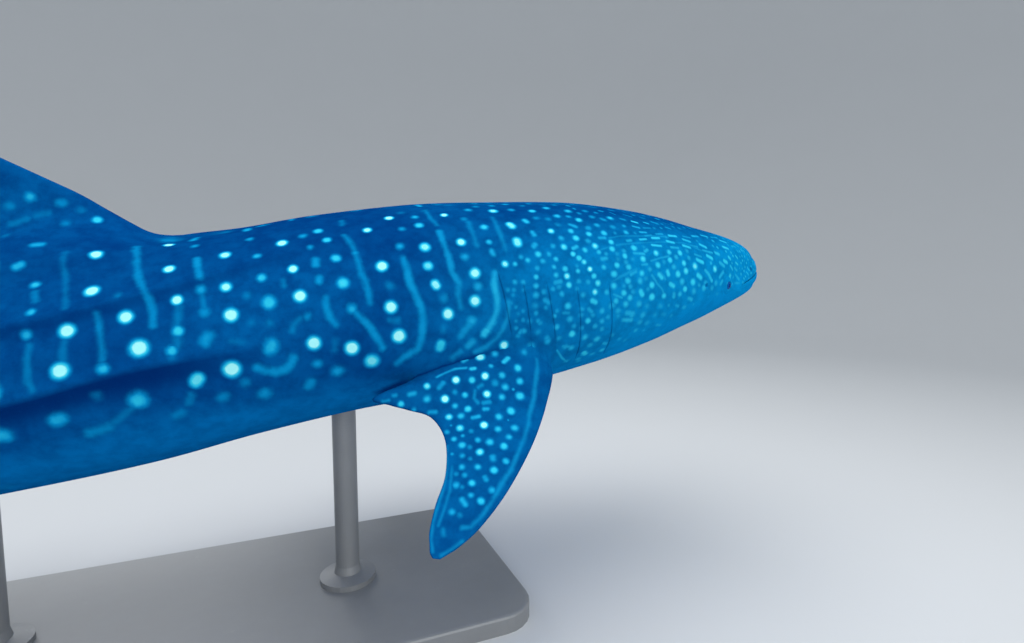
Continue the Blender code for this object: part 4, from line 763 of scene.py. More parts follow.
def body_surface():
    """The body's points in rows and columns, with stations, angles and how deep in a slit they lie, for the
    painted shade there.
    """
    front, front_stations = front_rows()
    rings = ring_rows()
    stations = np.array([row[0] for row in rings])
    rise = np.array([row[2] for row in rings])[:, None]
    angles = column_angles(stations)
    lean_line = [(GILL_LEAN_START, 0.0), *(slit[:2] for slit in GILL_SLITS), (GILLS_END, 0.0)]
    lean = np.interp(stations, *zip(*lean_line))[:, None]
    slit = np.array([row[1] for row in rings])
    top, bottom = (np.array([GILL_SLITS[k][end] for k in slit])[:, None] for end in (2, 3))
    size = np.abs(angles)
    fade = ease(np.minimum(size - top, bottom - size), 0.0, GILL_FADE)
    placed = stations[:, None] - lean * np.clip((size - 90.0) / GILL_LEAN_SPAN, -1.0, 1.0)
    points = section_points(placed, angles, np.where(slit[:, None] >= 0, rise * fade, 0.0))
    end = np.broadcast_to(spine_frames(BODY_END + END_CAP)[0], (1, points.shape[1], 3))
    points = np.concatenate([front, points, end])
    front_angles = np.broadcast_to(column_angles(SNOUT_START), (len(front), points.shape[1]))
    angles = np.concatenate([front_angles, angles, angles[-1:]])
    stations = np.concatenate([front_stations, stations, [BODY_END + END_CAP]])
    # Painted shade in the gill slits, darkest where they are deepest
    depth = np.where(slit[:, None] >= 0, np.clip(-rise / GILL_DARK_DEPTH, 0.0, 1.0) * fade, 0.0)
    depth = np.concatenate([np.zeros((len(front), points.shape[1])), depth, depth[-1:] * 0.0])
    swell = read(LIP_SWELL, 1.0 - front_stations / SNOUT_START) * (front_stations >= 0.0)
    swell = swell[:, None] * gape(mouth_columns()[0])
    points[:len(front)] += grid_normals(points[:len(front) + 1])[:-1] * swell[..., None]
    return points, stations, angles, depth


def grid_normals(points):
    """Outward normals at the points of a grid whose rows run aft and whose columns run from right to left."""
    along = np.gradient(points, axis=0)
    around = np.gradient(points, axis=1)
    return unit(np.cross(around, along))


class Surface:
    """One sheet of the skin as rows and columns of points, read anywhere between them."""

    def __init__(self, points):
        self.points = points
        self.normals = grid_normals(points)
        self.last = np.array(points.shape[:2]) - 1

    def read(self, grid, rows, columns):
        rows = np.clip(np.asarray(rows, float), 0.0, self.last[0] - 1e-6)
        columns = np.clip(np.asarray(columns, float), 0.0, self.last[1] - 1e-6)
        i, j = rows.astype(int), columns.astype(int)
        a, b = rows - i, columns - j
        if grid.ndim > 2:
            a, b = a[..., None], b[..., None]
        near = grid[i, j] * (1 - b) + grid[i, j + 1] * b
        far = grid[i + 1, j] * (1 - b) + grid[i + 1, j + 1] * b
        return near * (1 - a) + far * a

    def at(self, rows, columns):
        return self.read(self.points, rows, columns)

    def normal(self, rows, columns):
        return unit(self.read(self.normals, rows, columns))


def fair(pairs, places):
    """A fin's outline pairs read at places between them, on a smooth curve through all of them."""
    pairs = np.array(pairs, float)
    k = np.clip(np.floor(places).astype(int), 0, len(pairs) - 2)
    t = (places - k)[:, None, None]
    a, b, c, d = (pairs[np.clip(k + j, 0, len(pairs) - 1)] for j in (-1, 0, 1, 2))
    return 0.5 * (2 * b + (c - a) * t + (2 * a - 5 * b + 4 * c - d) * t * t
                  + (3 * b - a - 3 * c + d) * t ** 3)


def blade_points(pairs, kind, place, root_chords=None, both_ends=False, swell=None, both_faces=False):
    """Points of a closed fin: rows from root to tip, columns from the trailing edge round the section."""
    rows, columns = FIN_GRIDS[kind]
    places = np.linspace(0.0, len(pairs) - 1.0, rows)
    places = np.concatenate([places[:-1], [0.35 * places[-2] + 0.65 * places[-1]], places[-1:]])
    if both_ends:
        places = np.concatenate([places[:1], [0.65 * places[0] + 0.35 * places[1]], places[1:]])
    edges = fair(pairs, places)
    lead, trail = edges[:, 0], edges[:, 1]
    chord = np.linalg.norm(trail - lead, axis=1)
    root = root_chords(lead[:, 1]) if root_chords else math.dist(*pairs[1])
    thick = np.maximum(FIN_THICKNESS[kind] * (chord / root) ** FOIL_BLUNTNESS, FIN_EDGE)
    turn = np.linspace(0.0, 2.0 * math.pi, columns)
    share = 0.5 + 0.5 * np.cos(turn)
    face = np.where(np.arange(columns) * 2 < columns - 1, -1.0, 1.0)
    profile = np.maximum(0.0, np.sin(math.pi * share ** FOIL_FORWARD_SKEW)) ** FOIL_BLUNTNESS
    metres = (chord * TOTAL_LENGTH)[:, None]
    to_edge = np.minimum(share[None, :] * metres, (1.0 - share[None, :]) * metres) / (0.5 * FIN_EDGE)
    rounded = np.sqrt(1.0 - (1.0 - np.minimum(to_edge, 1.0)) ** 2)
    off = 0.5 * FIN_EDGE * rounded + 0.5 * np.maximum(thick - FIN_EDGE, 0.0)[:, None] * profile
    if swell:
        off = off * (1.0 + read(swell, lead[:, 1])[:, None] * ((face > 0.0) | both_faces))
    off[[0, -1]] = 0.0
    flat = lead[:, None, :] + (trail - lead)[:, None, :] * share[None, :, None]
    return place(flat[..., 0], flat[..., 1], off * face)


def placer(start, aft_way, out_way, normal):
    """A rule that turns lengths aft and out on a fin, and off its middle plane, into points."""
    return lambda aft, out, off: (start + (aft[..., None] * aft_way + out[..., None] * out_way) * TOTAL_LENGTH
                                  + off[..., None] * normal)


def square_to(way, direction):
    """The part of a direction that is square to a way, as a unit vector."""
    return unit(direction - way * np.dot(direction, way))


def pectoral_place(side):
    (front, front_angle), (rear, rear_angle) = PECTORAL_ROOT
    start = section_points(front, side * front_angle)
    aft_way = unit(section_points(rear, side * rear_angle) - start)
    forward, left, up = spine_frames(front)[1:]
    droop = math.radians(PECTORAL_DROOP)
    out_way = square_to(aft_way, left * (side * math.cos(droop)) - up * math.sin(droop))
    return placer(start, aft_way, out_way, -side * np.cross(aft_way, out_way))


def lobe_point(side, row):
    """The trailing edge of a pectoral fin at a row of its outline."""
    return pectoral_place(side)(*np.array(PECTORAL_EDGES[row][1] + (0.0,)))


def first_dorsal_place():
    forward, left, up = spine_frames(FIRST_DORSAL_STATION + 0.05)[1:]
    return placer(section_points(FIRST_DORSAL_STATION, 0.0), -forward, up, left)


def small_fin_place(station, angle, side, base, height):
    forward, left, up = spine_frames(station + 0.5 * base)[1:]
    signed = angle * (side or 1)
    start = section_points(station, signed)
    aft_way = unit(section_points(station + base, signed) - start)
    turn = math.radians(angle)
    out_way = square_to(aft_way, up * math.cos(turn) + left * (side * math.sin(turn)))
    return placer(start, aft_way * base, out_way * height, np.cross(aft_way, out_way))


def caudal_place():
    centre, forward, left, up = spine_frames(CAUDAL_FRAME)
    return placer(centre + forward * (CAUDAL_FRAME * TOTAL_LENGTH), -forward, up, left)


def fin_surfaces():
    """Every fin by name, as rows and columns of points."""
    fins = {name: blade_points(PECTORAL_EDGES, "pectoral", pectoral_place(side), swell=PECTORAL_SWELL)
            for name, side in (("pectoral_right", -1), ("pectoral_left", 1))}
    fins["first_dorsal"] = blade_points(FIRST_DORSAL_EDGES, "dorsal", first_dorsal_place(),
                                        swell=DORSAL_SWELL, both_faces=True)
    for name, *sizes in SMALL_FINS:
        fins[name] = blade_points(SMALL_FIN_EDGES, "small", small_fin_place(*sizes))
    outs, chords = zip(*((lead[1], math.dist(lead, trail)) for lead, trail in CAUDAL_EDGES[10:7:-2]))
    fins["caudal"] = blade_points(CAUDAL_EDGES, "caudal", caudal_place(), both_ends=True,
                                  root_chords=lambda out: np.interp(out, outs, chords))
    return fins


def deselect_all():
    if bpy.context.object and bpy.context.object.mode != "OBJECT":
        bpy.ops.object.mode_set(mode="OBJECT")
    bpy.ops.object.select_all(action="DESELECT")


def pick(*objects):
    """Select these objects alone, the first of them active."""
    deselect_all()
    for obj in objects:
        obj.select_set(True)
    bpy.context.view_layer.objects.active = objects[0]


def open_mesh(obj, kind="VERT", action="SELECT"):
    """Edit an object's mesh with all of it selected, or nothing."""
    pick(obj)
    bpy.ops.object.mode_set(mode="EDIT")
    bpy.ops.mesh.select_mode(type=kind)
    bpy.ops.mesh.select_all(action=action)


def open_faces(obj, chosen):
    """Edit an object's mesh with some of its faces selected."""
    open_mesh(obj, "FACE", "DESELECT")
    bpy.ops.object.mode_set(mode="OBJECT")
    obj.data.polygons.foreach_set("select", chosen)
    bpy.ops.object.mode_set(mode="EDIT")


def fetch(items, name, width=1, kind=float):
    """One property of many items, as an array."""
    values = np.empty(width * len(items), kind)
    items.foreach_get(name, values)
    return values.reshape(-1, width) if width > 1 else values


def close_seams(obj):
    """Merge the points that meet along seams and poles, and turn the faces outwards."""
    open_mesh(obj)
    bpy.ops.mesh.remove_doubles(threshold=MERGE_DISTANCE)
    bpy.ops.mesh.normals_make_consistent(inside=False)
    bpy.ops.object.mode_set(mode="OBJECT")


def add_sheet(name, points, sheet):
    """A grid bent to one closed part of the skin, with its patch of the map and its sheet numbers."""
    rows, columns = points.shape[:2]
    deselect_all()
    bpy.ops.mesh.primitive_grid_add(x_subdivisions=columns - 1, y_subdivisions=rows - 1, size=1.0)
    obj = bpy.context.object
    obj.name = name
    mesh = obj.data
    mesh.vertices.foreach_set("co", points.reshape(-1))
    corners = fetch(mesh.loops, "vertex_index", kind=np.int32)
    left, bottom, right, top = PATCHES[name]
    across = left + (right - left) * (corners // columns) / (rows - 1)
    upward = bottom + (top - bottom) * (corners % columns) / (columns - 1)
    layer = mesh.uv_layers[0]
    layer.name = MAP_NAME
    layer.data.foreach_set("uv", np.stack([across, upward], axis=1).astype(np.float32).ravel())
    column = np.arange(len(mesh.polygons)) % (columns - 1)
    second_face = (2 * column >= columns - 1) & (sheet > 0)
    numbers = mesh.attributes.new("sheet", "INT", "FACE")
    numbers.data.foreach_set("value", (sheet + second_face).astype(np.int32))
    close_seams(obj)
    return obj


def vertex_places(mesh):
    return fetch(mesh.vertices, "co", 3)


def set_vertex_places(mesh, places):
    mesh.vertices.foreach_set("co", places.ravel())
    mesh.update()


def face_sheets(mesh):
    return fetch(mesh.attributes["sheet"].data, "value", kind=np.int32)


def refine(obj, centre, radius, cuts):
    """Subdivide the faces round a place."""
    centres = fetch(obj.data.polygons, "center", 3)
    open_faces(obj, np.linalg.norm(centres - centre, axis=1) < radius)
    bpy.ops.mesh.subdivide(number_cuts=cuts)
    bpy.ops.object.mode_set(mode="OBJECT")


def eye_place(side):
    """The place on the skin over the eye and the direction that the eye looks in."""
    on_skin = section_points(EYE_STATION, side * EYE_ANGLE)
    ahead = section_points(EYE_STATION - 0.006, side * EYE_ANGLE)
    above = section_points(EYE_STATION, side * (EYE_ANGLE - 4.0))
    outward = unit(np.cross(ahead - on_skin, above - on_skin))
    left = spine_frames(EYE_STATION)[2]
    return on_skin, outward if np.dot(outward, left * side) > 0.0 else -outward


def shape_eye_folds(obj):
    """Sink the skin round each eyeball and raise the soft fold about it."""
    for side in (-1, 1):
        on_skin, way = eye_place(side)
        reach = EYE_FOLD[-1][0] * EYE_RADIUS
        refine(obj, on_skin, 1.25 * reach, 5)
        places = vertex_places(obj.data)
        offset = places - on_skin
        height = offset @ way
        flat = offset - height[:, None] * way
        distance = np.linalg.norm(flat, axis=1)
        inside = (distance < reach) & (np.abs(height) < reach)
        share = distance[inside] / EYE_RADIUS
        spread = read(EYE_FOLD, share, 1) * EYE_RADIUS / np.maximum(distance[inside], 1e-6)
        rise = read(EYE_FOLD, share, 2) * EYE_RADIUS + height[inside] * ease(share, 0.85, 1.4)
        places[inside] = on_skin + flat[inside] * spread[:, None] + rise[:, None] * way
        set_vertex_places(obj.data, places)


def nostril_place(side, inward=0.0, row=NOSTRIL_ROW):
    """The place of a nostril, or one nearer to the middle or to the lip."""
    angle = column_angles(SNOUT_START)[HALF + int(NOSTRIL_PLACE * SEAM)]
    return snout_points(NOSTRIL_PLACE - inward, side * angle, side, 1, row)


def spiracle_place(side, lift=0.0):
    return section_points(SPIRACLE_STATION, side * SPIRACLE_ANGLE, lift)


def shape_pits(obj):
    """Press in the nostrils and the openings behind the eyes, and raise a barbel beside each nostril."""
    forward, left, up = spine_frames(0.0)[1:]
    for side in (-1, 1):
        nostril = nostril_place(side)
        barbel = nostril_place(side, BARBEL_ASIDE, BARBEL_ROW)
        way = unit(forward - 0.25 * up + 0.6 * side * left)
        along = unit(up + 0.5 * side * left)
        refine(obj, nostril, 0.055, 4)
        places = vertex_places(obj.data)
        offset = places - nostril
        distance = np.linalg.norm(offset - 0.35 * (offset @ along)[:, None] * along, axis=1) / NOSTRIL_RADIUS
        depth = NOSTRIL_DEPTH * (1.0 - ease(distance, 0.0, 1.1))
        rim = NOSTRIL_RIM * (ease(distance, 0.9, 1.3) - ease(distance, 1.4, 2.3))
        distance = np.linalg.norm(places - barbel, axis=1) / BARBEL_RADIUS
        lobe = BARBEL_HEIGHT * (1.0 - ease(distance, 0.0, 1.2))
        places += (rim - depth)[:, None] * way + lobe[:, None] * unit(forward - 0.8 * up)
        set_vertex_places(obj.data, places)
        pit = spiracle_place(side)
        refine(obj, pit, 0.035, 4)
        places = vertex_places(obj.data)
        distance = np.linalg.norm(places - pit, axis=1) / SPIRACLE_RADIUS
        rim = SPIRACLE_RIM * (ease(distance, 0.9, 1.3) - ease(distance, 1.4, 2.2))
        depth = SPIRACLE_DEPTH * (1.0 - ease(distance, 0.3, 1.1)) - rim
        places -= depth[:, None] * unit(spiracle_place(side, 0.01) - pit)
        set_vertex_places(obj.data, places)


def join_fins(body, fins):
    """Join the fins to the body in one closed surface, without the stray faces at the fins' tips."""
    pick(*fins)
    bpy.ops.object.join()
    union = body.modifiers.new("join fins", "BOOLEAN")
    union.operation = "UNION"
    union.solver = "EXACT"
    union.object = fins[0]
    pick(body)
    bpy.ops.object.modifier_apply(modifier=union.name)
    bpy.data.objects.remove(fins[0], do_unlink=True)
    open_mesh(body)
    bpy.ops.mesh.remove_doubles(threshold=MERGE_DISTANCE)
    bpy.ops.mesh.dissolve_degenerate(threshold=MERGE_DISTANCE)
    bpy.ops.mesh.quads_convert_to_tris(quad_method="BEAUTY", ngon_method="BEAUTY")
    bpy.ops.object.mode_set(mode="OBJECT")
    edges = fetch(body.data.loops, "edge_index", kind=np.int32).reshape(-1, 3)
    open_faces(body, (np.bincount(edges.ravel())[edges] == 1).sum(axis=1) > 1)
    bpy.ops.mesh.delete(type="FACE")
    bpy.ops.object.mode_set(mode="OBJECT")


def soften_roots(obj):
    """Smooth the skin where fins grow out of the body, so that no crease shows."""
    mesh = obj.data
    corners = fetch(mesh.loops, "vertex_index", kind=np.int32)
    sheets = np.repeat(face_sheets(mesh), 3)
    touched = np.zeros((2, len(mesh.vertices)), bool)
    touched[0, corners[sheets == 0]] = True
    touched[1, corners[sheets > 0]] = True
    big = np.zeros(len(mesh.vertices), bool)
    big[corners[np.isin(sheets, [SHEETS[name] + k for name in LARGE_FINS for k in (0, 1)])]] = True
    places = vertex_places(mesh)
    seam = np.flatnonzero(touched.all(axis=0))
    tree = KDTree(len(seam))
    for number, vertex in enumerate(seam):
        tree.insert(places[vertex], number)
    tree.balance()
    near, rear = np.zeros((2, len(mesh.vertices)))
    ends = [lobe_point(side, 1) for side in (-1, 1)]
    group = obj.vertex_groups.new(name="roots")
    low, high = places[seam].min(axis=0) - ROOT_REACH, places[seam].max(axis=0) + ROOT_REACH
    for vertex in np.flatnonzero(((places > low) & (places < high)).all(axis=1)):
        found, number, distance = tree.find(places[vertex])
        reach = ROOT_REACH if big[seam[number]] else SMALL_ROOT_REACH
        if distance < reach:
            near[vertex] = 1.0 - distance / reach
            group.add([int(vertex)], near[vertex], "REPLACE")
        # Painted shade in the crease along the rear part of each pectoral fin's root
        if distance < ROOT_SHADE_REACH:
            aside = min(np.linalg.norm(places[vertex] - end) for end in ends)
            rear[vertex] = (1.0 - distance / ROOT_SHADE_REACH) * (1.0 - ease(aside, LOBE_NEAR, LOBE_FAR))
    write_point_layer(mesh, "root_near", near)
    write_point_layer(mesh, "root_shade", rear)
    smooth = obj.modifiers.new("soften roots", "SMOOTH")
    smooth.factor = ROOT_SMOOTHING
    smooth.iterations = ROOT_PASSES
    smooth.vertex_group = group.name
    pick(obj)
    bpy.ops.object.modifier_apply(modifier=smooth.name)
    obj.vertex_groups.clear()


def write_point_layer(mesh, name, values):
    layer = mesh.attributes.new(name, "FLOAT", "POINT")
    layer.data.foreach_set("value", np.ascontiguousarray(values, np.float32))


def point_layer(mesh, name):
    return fetch(mesh.attributes[name].data, "value", kind=np.float32)


def camera_axes():
    """The camera's forward, right and up directions."""
    heading_turn, dip = math.radians(CAMERA_HEADING), math.radians(CAMERA_DIP)
    forward = np.array([math.sin(heading_turn) * math.cos(dip), math.cos(heading_turn) * math.cos(dip),
                        -math.sin(dip)])
    right = np.array([math.cos(heading_turn), -math.sin(heading_turn), 0.0])
    return forward, right, np.cross(right, forward)


def in_view(points, normals, slope):
    """Which points of the skin the camera sees, leaving aside what may stand before them."""
    forward, right, up = camera_axes()
    offset = points - np.array(CAMERA_PLACE)
    depth = offset @ forward
    across = 0.5 * PICTURE_SIZE[0] + FOCAL_PIXELS * (offset @ right) / depth
    return (depth > 0.0) & (across > -VIEW_MARGIN) & (-dots(unit(offset), normals) > slope)


class Marks:
    """Spots and stripes: each is a short line on one sheet of the skin, with a radius and a brightness."""

    def __init__(self):
        self.rows = []

    def add(self, sheet, start, end, normal, radius, tone):
        start, end, normal = (np.array(value, float) for value in (start, end, normal))
        run = end - start
        half = 0.5 * np.linalg.norm(run)
        if half < 1e-5:
            run = np.cross(normal, (0.0, 0.0, 1.0))
        run = unit(run - normal * np.dot(run, normal))
        self.rows.append((sheet, 0.5 * (start + end), run, np.cross(normal, run), normal, half, radius, tone))

    def columns(self):
        return [np.array([row[k] for row in self.rows]) for k in range(8)]

    def samples(self, number):
        """Places along one mark, close enough together to find it by."""
        middle, run, half, radius = (self.rows[number][k] for k in (1, 2, 5, 6))
        count = 1 + 2 * int(math.ceil(half / (0.8 * radius)))
        return [middle + run * half * share for share in np.linspace(-1.0, 1.0, count)]


class Pattern:
    """The whole pattern of the skin: marks seen in the picture, their twins on the far side, and the rest."""

    def __init__(self, mesh, surfaces, body_stations):
        self.surfaces = surfaces
        self.stations = body_stations
        self.marks = Marks()
        self.rng = np.random.default_rng(PATTERN_SEED)
        self.taken = {}
        self.root_near = point_layer(mesh, "root_near")
        self.root_shade = point_layer(mesh, "root_shade")
        self.places = vertex_places(mesh)
        self.corners = fetch(mesh.polygons, "vertices", 3, np.int32)
        self.map = fetch(mesh.uv_layers[MAP_NAME].data, "uv", 2, np.float32).reshape(-1, 3, 2)
        self.sheets = face_sheets(mesh)
        self.tree = BVHTree.FromPolygons([Vector(place) for place in self.places], self.corners.tolist())

    def patch_place(self, name, uv):
        """Row and column on a part's grid from its place on the map."""
        left, bottom, right, top = PATCHES[name]
        rows, columns = self.surfaces[name].points.shape[:2]
        row = (uv[..., 0] - left) / (right - left) * (rows - 1)
        return row, (uv[..., 1] - bottom) / (top - bottom) * (columns - 1)

    def seen(self, x, y):
        """Where a place in the picture lies on the skin: part, sheet, row, column, point, normal, depth."""
        forward, right, up = camera_axes()
        origin = np.array(CAMERA_PLACE)
        way = forward * FOCAL_PIXELS + right * (x - 0.5 * PICTURE_SIZE[0]) - up * (y - 0.5 * PICTURE_SIZE[1])
        point, normal, face, distance = self.tree.ray_cast(Vector(origin), Vector(unit(way)))
        if point is None:
            return None
        a, b, c = (Vector(self.places[corner]) for corner in self.corners[face])
        uvs = [Vector((*uv, 0.0)) for uv in self.map[face]]
        uv = barycentric_transform(point, a, b, c, *uvs)
        name = sheet_part(self.sheets[face])
        row, column = self.patch_place(name, np.array(uv[:2]))
        depth = float(np.dot(np.array(point) - origin, forward))
        return name, int(self.sheets[face]), row, column, np.array(point), np.array(normal), depth

    def twin(self, name, row, column):
        """The matching place on the animal's other side, or on the other face of a fin on the middle line."""
        across = {"pectoral_right": "pectoral_left", "pelvic_right": "pelvic_left"}
        if name in across:
            return across[name], row, column
        return name, row, self.surfaces[name].last[1] - column

    def sheet_of(self, name, column):
        if name == "body":
            return 0
        return SHEETS[name] + int(2 * column >= self.surfaces[name].last[1])

    def add_mark(self, sheet, start, end, normal, radius, tone):
        """Add a mark and keep its place and reach, so that others leave room for it."""
        self.marks.add(sheet, start, end, normal, radius, tone)
        middle, half = self.marks.rows[-1][1], self.marks.rows[-1][5]
        row = np.array([[*middle, radius + half]])
        known = self.taken.get(sheet)
        self.taken[sheet] = row if known is None else np.concatenate([known, row])

    def place_mark(self, name, ends, radius, tone, shift=(0.0, 0.0)):
        """Add a mark by the rows and columns of its two ends."""
        surface = self.surfaces[name]
        rows = np.array([end[0] + shift[0] for end in ends])
        columns = np.array([end[1] + shift[1] for end in ends])
        points = surface.at(rows, columns)
        normal = surface.normal(rows.mean(), columns.mean())
        self.add_mark(self.sheet_of(name, columns.mean()), points[0], points[1], normal, radius, tone)

    def add_seen(self):
        """The marks that the picture shows, with a twin of each on the side that it doesn't show."""
        lines = [((x, y), (x, y), radius, tone) for x, y, radius, tone in SEEN_SPOTS]
        for radius, tone, *points in SEEN_STRIPES:
            points = np.array(points, float).reshape(-1, 2)
            drawn_in = (0.6 if len(points) == 2 else 0.2) * radius
            for tip, inner in ((0, 1), (-1, -2)):
                run = points[inner] - points[tip]
                points[tip] += run * min(0.4, drawn_in / np.linalg.norm(run))
            parts = zip(points[:-1], points[1:])
            lines += [(start, end, radius, tone * STRIPE_LIGHT) for start, end in parts]
        for start, end, radius, tone in lines:
            hits = [self.seen(*start), self.seen(*end)]
            if None in hits or hits[0][1] != hits[1][1]:
                continue
            name, sheet = hits[0][:2]
            share = 0.0 if sheet else float(read(HEAD_SHARE, self.stations[int(hits[0][2])]))
            size = radius * (1.0 - HEAD_SHRINK * share) * 0.5 * (hits[0][6] + hits[1][6]) / FOCAL_PIXELS
            tone += share * (0.06 - 0.20 * tone)
            normal = unit(hits[0][5] + hits[1][5])
            self.add_mark(sheet, hits[0][4], hits[1][4], normal, size, tone)
            twins = [self.twin(name, hit[2], hit[3]) for hit in hits]
            ends = [twin[1:] for twin in twins]
            shift = self.rng.uniform(-1.0, 1.0, 2) * TWIN_SHIFT
            grown, paled = self.rng.uniform(0.85, 1.15), self.rng.uniform(0.8, 1.15)
            self.place_mark(twins[0][0], ends, size * grown, min(1.0, tone * paled), shift)

    def free(self, sheet, point, gap):
        """Whether a place is at least a gap away from every mark on its sheet."""
        known = self.taken.get(sheet)
        if known is None:
            return True
        return bool((np.linalg.norm(known[:, :3] - point, axis=1) > gap + known[:, 3]).all())

    def unseen(self, name, row, column, slope=SEEN_SLOPE):
        """Whether neither a place nor its twin shows in the picture."""
        for part, r, c in ((name, row, column), self.twin(name, row, column)):
            surface = self.surfaces[part]
            if in_view(surface.at(r, c), surface.normal(r, c), slope):
                return False
        return True

    def body_column(self, row, angle):
        """The column of an angle on one of the body's rows."""
        return float(np.interp(angle, column_angles(self.stations[int(row)]), np.arange(2 * HALF + 1)))

    def body_row(self, station):
        return float(np.interp(station, self.stations, np.arange(len(self.stations))))

    def scatter_head(self):
        """Small spots over the head and shoulder, and faint ones between those that the picture shows."""
        for number in range(HEAD_TRIES):
            station = self.rng.uniform(0.0, HEAD_END)
            angle = self.rng.uniform(-HEAD_ANGLES, HEAD_ANGLES)
            row = self.body_row(station)
            column = self.body_column(row, angle)
            size = float(read(SPOT_SIZES, station)) * self.rng.uniform(0.75, 1.2)
            gap = float(read(SPOT_GAPS, station)) * self.rng.uniform(0.7, 1.1)
            tone = self.tone()
            if abs(angle) > float(read(BELLY_BORDER, station)):
                continue
            if not self.unseen("body", row, column):
                size, gap, tone = size * FAINT_SIZE, gap * FAINT_GAP, tone * FAINT_TONE
            elif not self.unseen("body", row, column, 0.0):
                tone *= EDGE_TONE
            if not self.free(0, self.surfaces["body"].at(row, column), gap):
                continue
            long = self.rng.uniform(0.0, 1.0) if self.rng.random() < 0.5 else 0.0
            ends = ((row - long, column - 0.6 * long), (row + long, column + 0.6 * long))
            self.place_mark("body", ends, size * (1.0 - 0.25 * long), tone)

    def tone(self):
        return float(self.rng.choice([1.0, 0.85, 0.65, 0.45], p=[0.3, 0.3, 0.25, 0.15]))

    def rows_of_spots(self):
        """Upright rows of spots with a wavy stripe between each two, on the trunk and tail."""
        for number, station in enumerate(np.arange(*SPOT_ROWS)):
            for side in (-1, 1):
                if number % 2:
                    self.wavy_stripe(station, side)
                    continue
                size = float(read(SPOT_SIZES, station))
                step = math.degrees(float(read(SPOT_GAPS, station)) / float(read(GIRTHS, station)))
                angle = self.rng.uniform(0.3, 0.8) * step
                while angle < float(read(BELLY_BORDER, station)) - 6.0:
                    row = self.body_row(station + self.rng.normal(0.0, 0.0022))
                    column = self.body_column(row, side * (angle + self.rng.normal(0.0, 0.12 * step)))
                    open_place = self.free(0, self.surfaces["body"].at(row, column), size)
                    if self.unseen("body", row, column) and open_place:
                        dim = 1.0 if self.unseen("body", row, column, 0.0) else EDGE_TONE
                        size_here = size * self.rng.uniform(0.8, 1.15)
                        self.place_mark("body", ((row, column),) * 2, size_here, dim * self.tone())
                    angle += step * self.rng.uniform(0.85, 1.2)

    def wavy_stripe(self, station, side):
        phase, sway = self.rng.uniform(0.0, 6.3), self.rng.uniform(0.0012, 0.0035)
        size = 0.45 * float(read(SPOT_SIZES, station))
        tone = float(self.rng.uniform(0.3, 0.55))
        angles = np.arange(self.rng.uniform(4.0, 14.0), float(read(BELLY_BORDER, station)) - 8.0, 7.0)
        places = []
        for angle in angles:
            row = self.body_row(station + sway * math.sin(phase + angle / 17.0))
            places.append((row, self.body_column(row, side * angle)))
        for start, end in zip(places[:-1], places[1:]):
            if self.rng.random() < 0.12:
                continue
            if self.unseen("body", *start) and self.unseen("body", *end):
                self.place_mark("body", (start, end), size, tone)

    def scatter_fin(self, name, size, gap, halves):
        """Spots over the faces of a fin where the picture doesn't show it."""
        surface = self.surfaces[name]
        rows, columns = surface.last
        for number in range(FIN_TRIES):
            row = self.rng.uniform(0.20 if name in FAINT_FINS else 0.08, 0.96) * rows
            column = self.rng.choice(halves) * 0.5 * columns + self.rng.uniform(0.06, 0.44) * columns
            sheet = self.sheet_of(name, column)
            part = 1.0 if self.unseen(name, row, column) else FAINT_FINS.get(name)
            if part and self.free(sheet, surface.at(row, column), gap * part):
                radius = size * part * self.rng.uniform(0.7, 1.2)
                self.place_mark(name, ((row, column),) * 2, radius, part ** 0.5 * 0.8 * self.tone())

    def nearest(self):
        """For each corner of each face, its place on the two marks nearest to the face, and their tones."""
        sheet, middle, run, across, normal, half, radius, tone = self.marks.columns()
        corners = self.places[self.corners]
        centres = corners.mean(axis=1)
        face_normals = unit(np.cross(corners[:, 1] - corners[:, 0], corners[:, 2] - corners[:, 0]))
        best = np.zeros((len(centres), 2), int)
        valid = np.zeros((len(centres), 2), bool)
        for number in np.unique(self.sheets):
            faces = np.flatnonzero(self.sheets == number)
            marks = np.flatnonzero(sheet == number)
            samples = [(place, mark) for mark in marks for place in self.marks.samples(mark)]
            if not samples:
                continue
            tree = KDTree(len(samples))
            for place, mark in samples:
                tree.insert(place, int(mark))
            tree.balance()
            count = min(NEIGHBOURS, len(samples))
            found = np.array([[index for place, index, distance in tree.find_n(centres[face], count)]
                              for face in faces])
            offset = centres[faces][:, None] - middle[found]
            along = np.maximum(np.abs(dots(offset, run[found])) - half[found], 0.0)
            distance = np.hypot(along, dots(offset, across[found])) / radius[found]
            distance[dots(face_normals[faces][:, None], normal[found]) < 0.0] = FAR
            for k in (0, 1):
                closest = found[np.arange(len(faces)), distance.argmin(axis=1)]
                best[faces, k] = closest
                valid[faces, k] = distance.min(axis=1) < FAR
                distance[found == closest[:, None]] = FAR
        layers = []
        for mark, near in zip(best.T, valid.T):
            offset = corners - middle[mark][:, None]
            along, aside = (dots(offset, way[mark][:, None]) for way in (run, across))
            ends = np.broadcast_to(half[mark][:, None], along.shape)
            place = np.stack([along, aside, ends], axis=2) / radius[mark][:, None, None]
            place[~near] = NO_MARK
            layers.append(place)
        return *layers, tone[best] * valid


def sheet_part(sheet):
    """The part of the skin that a sheet number belongs to."""
    return "body" if sheet == 0 else FIN_NAMES[(sheet - 1) // 2]


def hollow_shade(stations, angles):
    """Painted shade in the hollows below the ridges: sharp along the ridge, fading out below."""
    shade = np.zeros_like(angles)
    for line, heights, darkness, reach in HOLLOW_SHADES:
        past = angles - read(line, stations)
        strength = np.minimum(read(heights, stations) / 0.016, 1.0) * darkness
        shade = np.maximum(shade, strength * ease(past, 0.2, 1.5) * (1.0 - ease(past, 0.2 * reach, reach)))
    return shade


